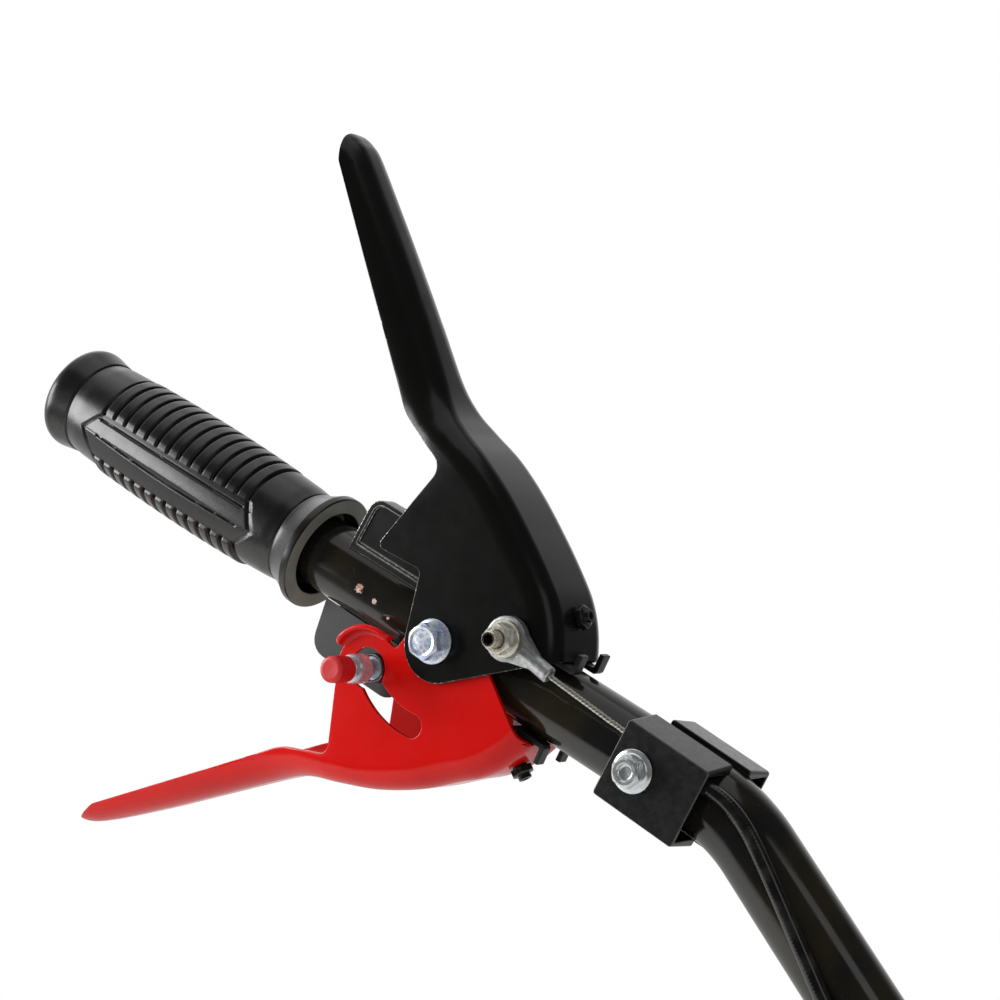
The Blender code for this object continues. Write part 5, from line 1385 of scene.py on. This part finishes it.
class HANDLEBAR_OT_lock(Builder, bpy.types.Operator):
    """Turns the lock's bush, pin, clip and button cap"""

    bl_idname = "handlebar.lock"
    bl_label = "Build Lock"

    def build(self, sizes, colours):
        here = (LOCK_X, LOCK_Z)
        bright = plated_zinc("lock_pin_zinc_plate", srgb("dcdfe2"), srgb("b8c0cc"), 0.16, 0.3)
        steel = steel_turned("bush_turned", srgb("7c7c7e"), 0.3)
        bush = [(-15.9, 4.9), (-15.9, 5.3), (-15.6, 5.6), (-3.4, 5.6), (-3.4, 2.8)]
        bush += [(-5.4, 2.8), (-5.4, 4.7), (-15.7, 4.7), (-15.9, 4.9)]
        mesh = turned(bush, here)
        add_piece("lock_bush_turned", mesh, [steel], "handlebar", "lock_guide_bush")
        foot = [(0.8, 0.0), (0.8, 2.2), (0.5, 2.5), (-14.0, 2.5)]
        guide = [(-14.0, 4.4), (-15.5, 4.4), (-15.5, 3.4), (-22.0, 3.4)]
        lock = [(-22.0, 5.3), (-22.2, 5.5), (-28.2, 5.5), (-28.8, 5.35), (-29.6, 5.0)]
        stem = [(-30.0, 4.0), (-31.6, 4.0), (-31.6, 2.7), (-38.4, 2.7), (-38.4, 0.0)]
        mesh = turned(foot + guide + lock + stem, here)
        add_piece("lock_pin_turned", mesh, [bright], "lock_button", "lock_pin")
        skirt = [(-38.7, 0.0), (-38.7, 3.0), (-31.9, 3.0), (-31.9, 4.6), (-32.2, 4.9), (-40.2, 4.9)]
        crown = [(-40.75, 4.78), (-41.1, 4.45), (-41.25, 4.0), (-41.3, 3.4), (-41.25, 2.0), (-41.2, 0.0)]
        red = moulded_plastic("button_red_moulded", tuple(colours.button), 0.34, 0.012, srgb("d8463e"))
        body, slot, node_name = "lock_button", "red_button_plastic", "lock_button_cap"
        mesh = turned(skirt + crown, here)
        add_piece("lock_cap_moulded", mesh, [red], body, node_name, sharp=50.0)
        clip = [(-3.1, 2.8), (-3.1, 4.4), (-2.9, 4.6), (-2.1, 4.6), (-1.9, 4.4), (-1.9, 2.8), (-3.1, 2.8)]
        mesh = turned(clip, here)
        add_piece("lock_clip_turned", mesh, [bright], "lock_button", "lock_clip")


class HANDLEBAR_OT_stops(Builder, bpy.types.Operator):
    """Rounds the stop pads in the levers' noses and their screws"""

    bl_idname = "handlebar.stops"
    bl_label = "Build Stops"

    def build(self, sizes, colours):
        plastic = moulded_plastic("pad_polyamide_moulded", tuple(colours.plastic), 0.4, 0.01, srgb("34342f"))
        screw = moulded_plastic("screw_polyamide_moulded", srgb("151515"), 0.28, 0.006, srgb("2c2b28"))
        for lever in ("drive", "reverse"):
            body = f"{lever}_lever_group"
            for part, look, width in (("pad", plastic, sizes.mould_edge), ("screw", screw, 0.2)):
                node_name = f"{lever}_stop_{part}"
                rounded_copy(f"{node_name}_moulded", node_name, width, [look], body)


# Studio


def softbox(name, spot, size, power):
    """A rectangular area light that faces the middle of the part."""
    data = bpy.data.lights.new(name, "AREA")
    data.shape = "RECTANGLE"
    data.size, data.size_y = size
    data.energy = power
    data.spread = math.pi
    lamp = bpy.data.objects.new(name, data)
    lamp.location = spot
    middle = Vector((-0.17, 0.0, 0.16))
    lamp.rotation_euler = (middle - Vector(spot)).to_track_quat("-Z", "Y").to_euler()
    bpy.context.scene.collection.objects.link(lamp)


class HANDLEBAR_OT_stage(bpy.types.Operator):
    """Sets the camera, softboxes, white surroundings and pale floor"""

    bl_idname = "handlebar.stage"
    bl_label = "Build Stage"

    def execute(self, context):
        scene = context.scene
        self.camera(scene)
        self.floor(scene)
        self.world(scene)
        softbox("key_softbox", (-1.02, -0.56, 0.38), (0.42, 0.55), 8.0)
        softbox("side_softbox", (0.75, -0.35, 0.45), (0.35, 0.7), 0.7)
        softbox("top_softbox", (-0.15, -0.1, 1.2), (1.1, 0.9), 2.3)
        softbox("rear_softbox", (-1.1, 0.43, 0.96), (0.9, 0.7), 1.3)
        scene.view_settings.view_transform = "Standard"
        return {"FINISHED"}

    def camera(self, scene):
        yaw, rise = math.radians(31.44), math.radians(3.34)
        ahead = Vector((-math.sin(yaw) * math.cos(rise), math.cos(yaw) * math.cos(rise), math.sin(rise)))
        right = Vector((math.cos(yaw), math.sin(yaw), 0.0))
        up = right.cross(ahead)
        data = bpy.data.cameras.new("photo_view")
        data.lens = 75.816
        data.sensor_width = 36.0
        data.clip_start = 0.01
        camera = bpy.data.objects.new("photo_view", data)
        turn = Matrix((right, up, -ahead)).transposed().to_4x4()
        camera.matrix_world = Matrix.Translation((0.23737, -0.65496, 0.16093)) @ turn
        scene.collection.objects.link(camera)
        scene.camera = camera

    def floor(self, scene):
        """A round card, its rim turned down a little, a quarter of a metre below the part."""
        angles = circle(128)
        reach = np.array([0.0, 0.4, 0.8, 1.196, 1.2, 1.2, 1.196, 0.0])
        height = np.array([0.0, 0.0, 0.0, 0.0, -0.004, -0.008, -0.012, -0.012]) - 0.26
        x = -0.18 + reach[:, None] * np.cos(angles)
        y = 0.1 + reach[:, None] * np.sin(angles)
        z = np.broadcast_to(height[:, None], x.shape)
        mesh = surface(np.stack([x, y, z], -1))
        piece = link("studio_floor", mesh, [pale_card(tuple(scene.handlebar_colours.floor))])
        mesh.shade_smooth()
        mesh.set_sharp_from_angle(angle=math.radians(40.0))

    def world(self, scene):
        """White for the camera. Gloss sees a white backdrop behind the part and a dim room before it."""
        world = bpy.data.worlds.new("white_studio")
        world.use_nodes = True
        scene.world = world
        tree = world.node_tree
        tree.nodes.clear()
        way = node(tree, "ShaderNodeTexCoord").outputs["Generated"]
        facing = node(tree, "ShaderNodeVectorMath", {"operation": "DOT_PRODUCT"})
        tree.links.new(way, facing.inputs[0])
        facing.inputs[1].default_value = (-0.8, 0.58, 0.15)
        room = remap(tree, facing.outputs["Value"], 0.0, 0.75, 0.05, 1.0)
        rays = node(tree, "ShaderNodeLightPath")
        gloss = maths(tree, "MAXIMUM", rays.outputs["Is Glossy Ray"], rays.outputs["Is Transmission Ray"])
        plain = maths(tree, "MULTIPLY", maths(tree, "SUBTRACT", 1.0, gloss), 0.5)
        strength = maths(tree, "ADD", maths(tree, "MULTIPLY", gloss, room), plain)
        strength = maths(tree, "MAXIMUM", strength, rays.outputs["Is Camera Ray"])
        sky = node(tree, "ShaderNodeBackground", {"Color": (1.0, 1.0, 1.0, 1.0)}, Strength=strength)
        node(tree, "ShaderNodeOutputWorld", Surface=sky.outputs["Background"])

# Registration


class HANDLEBAR_PT_panel(bpy.types.Panel):
    bl_idname = "HANDLEBAR_PT_panel"
    bl_label = "Handlebar"
    bl_space_type = "VIEW_3D"
    bl_region_type = "UI"
    bl_category = "Handlebar"

    def draw(self, context):
        scene = context.scene
        for settings in (scene.handlebar_sizes, scene.handlebar_colours):
            for key in settings.bl_rna.properties.keys():
                if key not in {"rna_type", "name"}:
                    self.layout.prop(settings, key)
        for operator in OPERATORS:
            self.layout.operator(operator.bl_idname)


OPERATORS = (
    HANDLEBAR_OT_tube,
    HANDLEBAR_OT_grip,
    HANDLEBAR_OT_levers,
    HANDLEBAR_OT_brackets,
    HANDLEBAR_OT_bolts,
    HANDLEBAR_OT_cable_ends,
    HANDLEBAR_OT_clamp,
    HANDLEBAR_OT_sheaths,
    HANDLEBAR_OT_lock,
    HANDLEBAR_OT_stops,
    HANDLEBAR_OT_stage,
)
CLASSES = (HandlebarSizes, HandlebarColours, *OPERATORS, HANDLEBAR_PT_panel)


def register():
    for kind in CLASSES:
        bpy.utils.register_class(kind)
    bpy.types.Scene.handlebar_sizes = PointerProperty(type=HandlebarSizes)
    bpy.types.Scene.handlebar_colours = PointerProperty(type=HandlebarColours)


def unregister():
    del bpy.types.Scene.handlebar_colours
    del bpy.types.Scene.handlebar_sizes
    for kind in reversed(CLASSES):
        bpy.utils.unregister_class(kind)


def main():
    register()
    bpy.ops.handlebar.tube()
    bpy.ops.handlebar.grip()
    bpy.ops.handlebar.levers()
    bpy.ops.handlebar.brackets()
    bpy.ops.handlebar.bolts()
    bpy.ops.handlebar.cable_ends()
    bpy.ops.handlebar.clamp()
    bpy.ops.handlebar.sheaths()
    bpy.ops.handlebar.lock()
    bpy.ops.handlebar.stops()
    bpy.ops.handlebar.stage()
    bpy.context.view_layer.update()


if __name__ == "__main__":
    main()
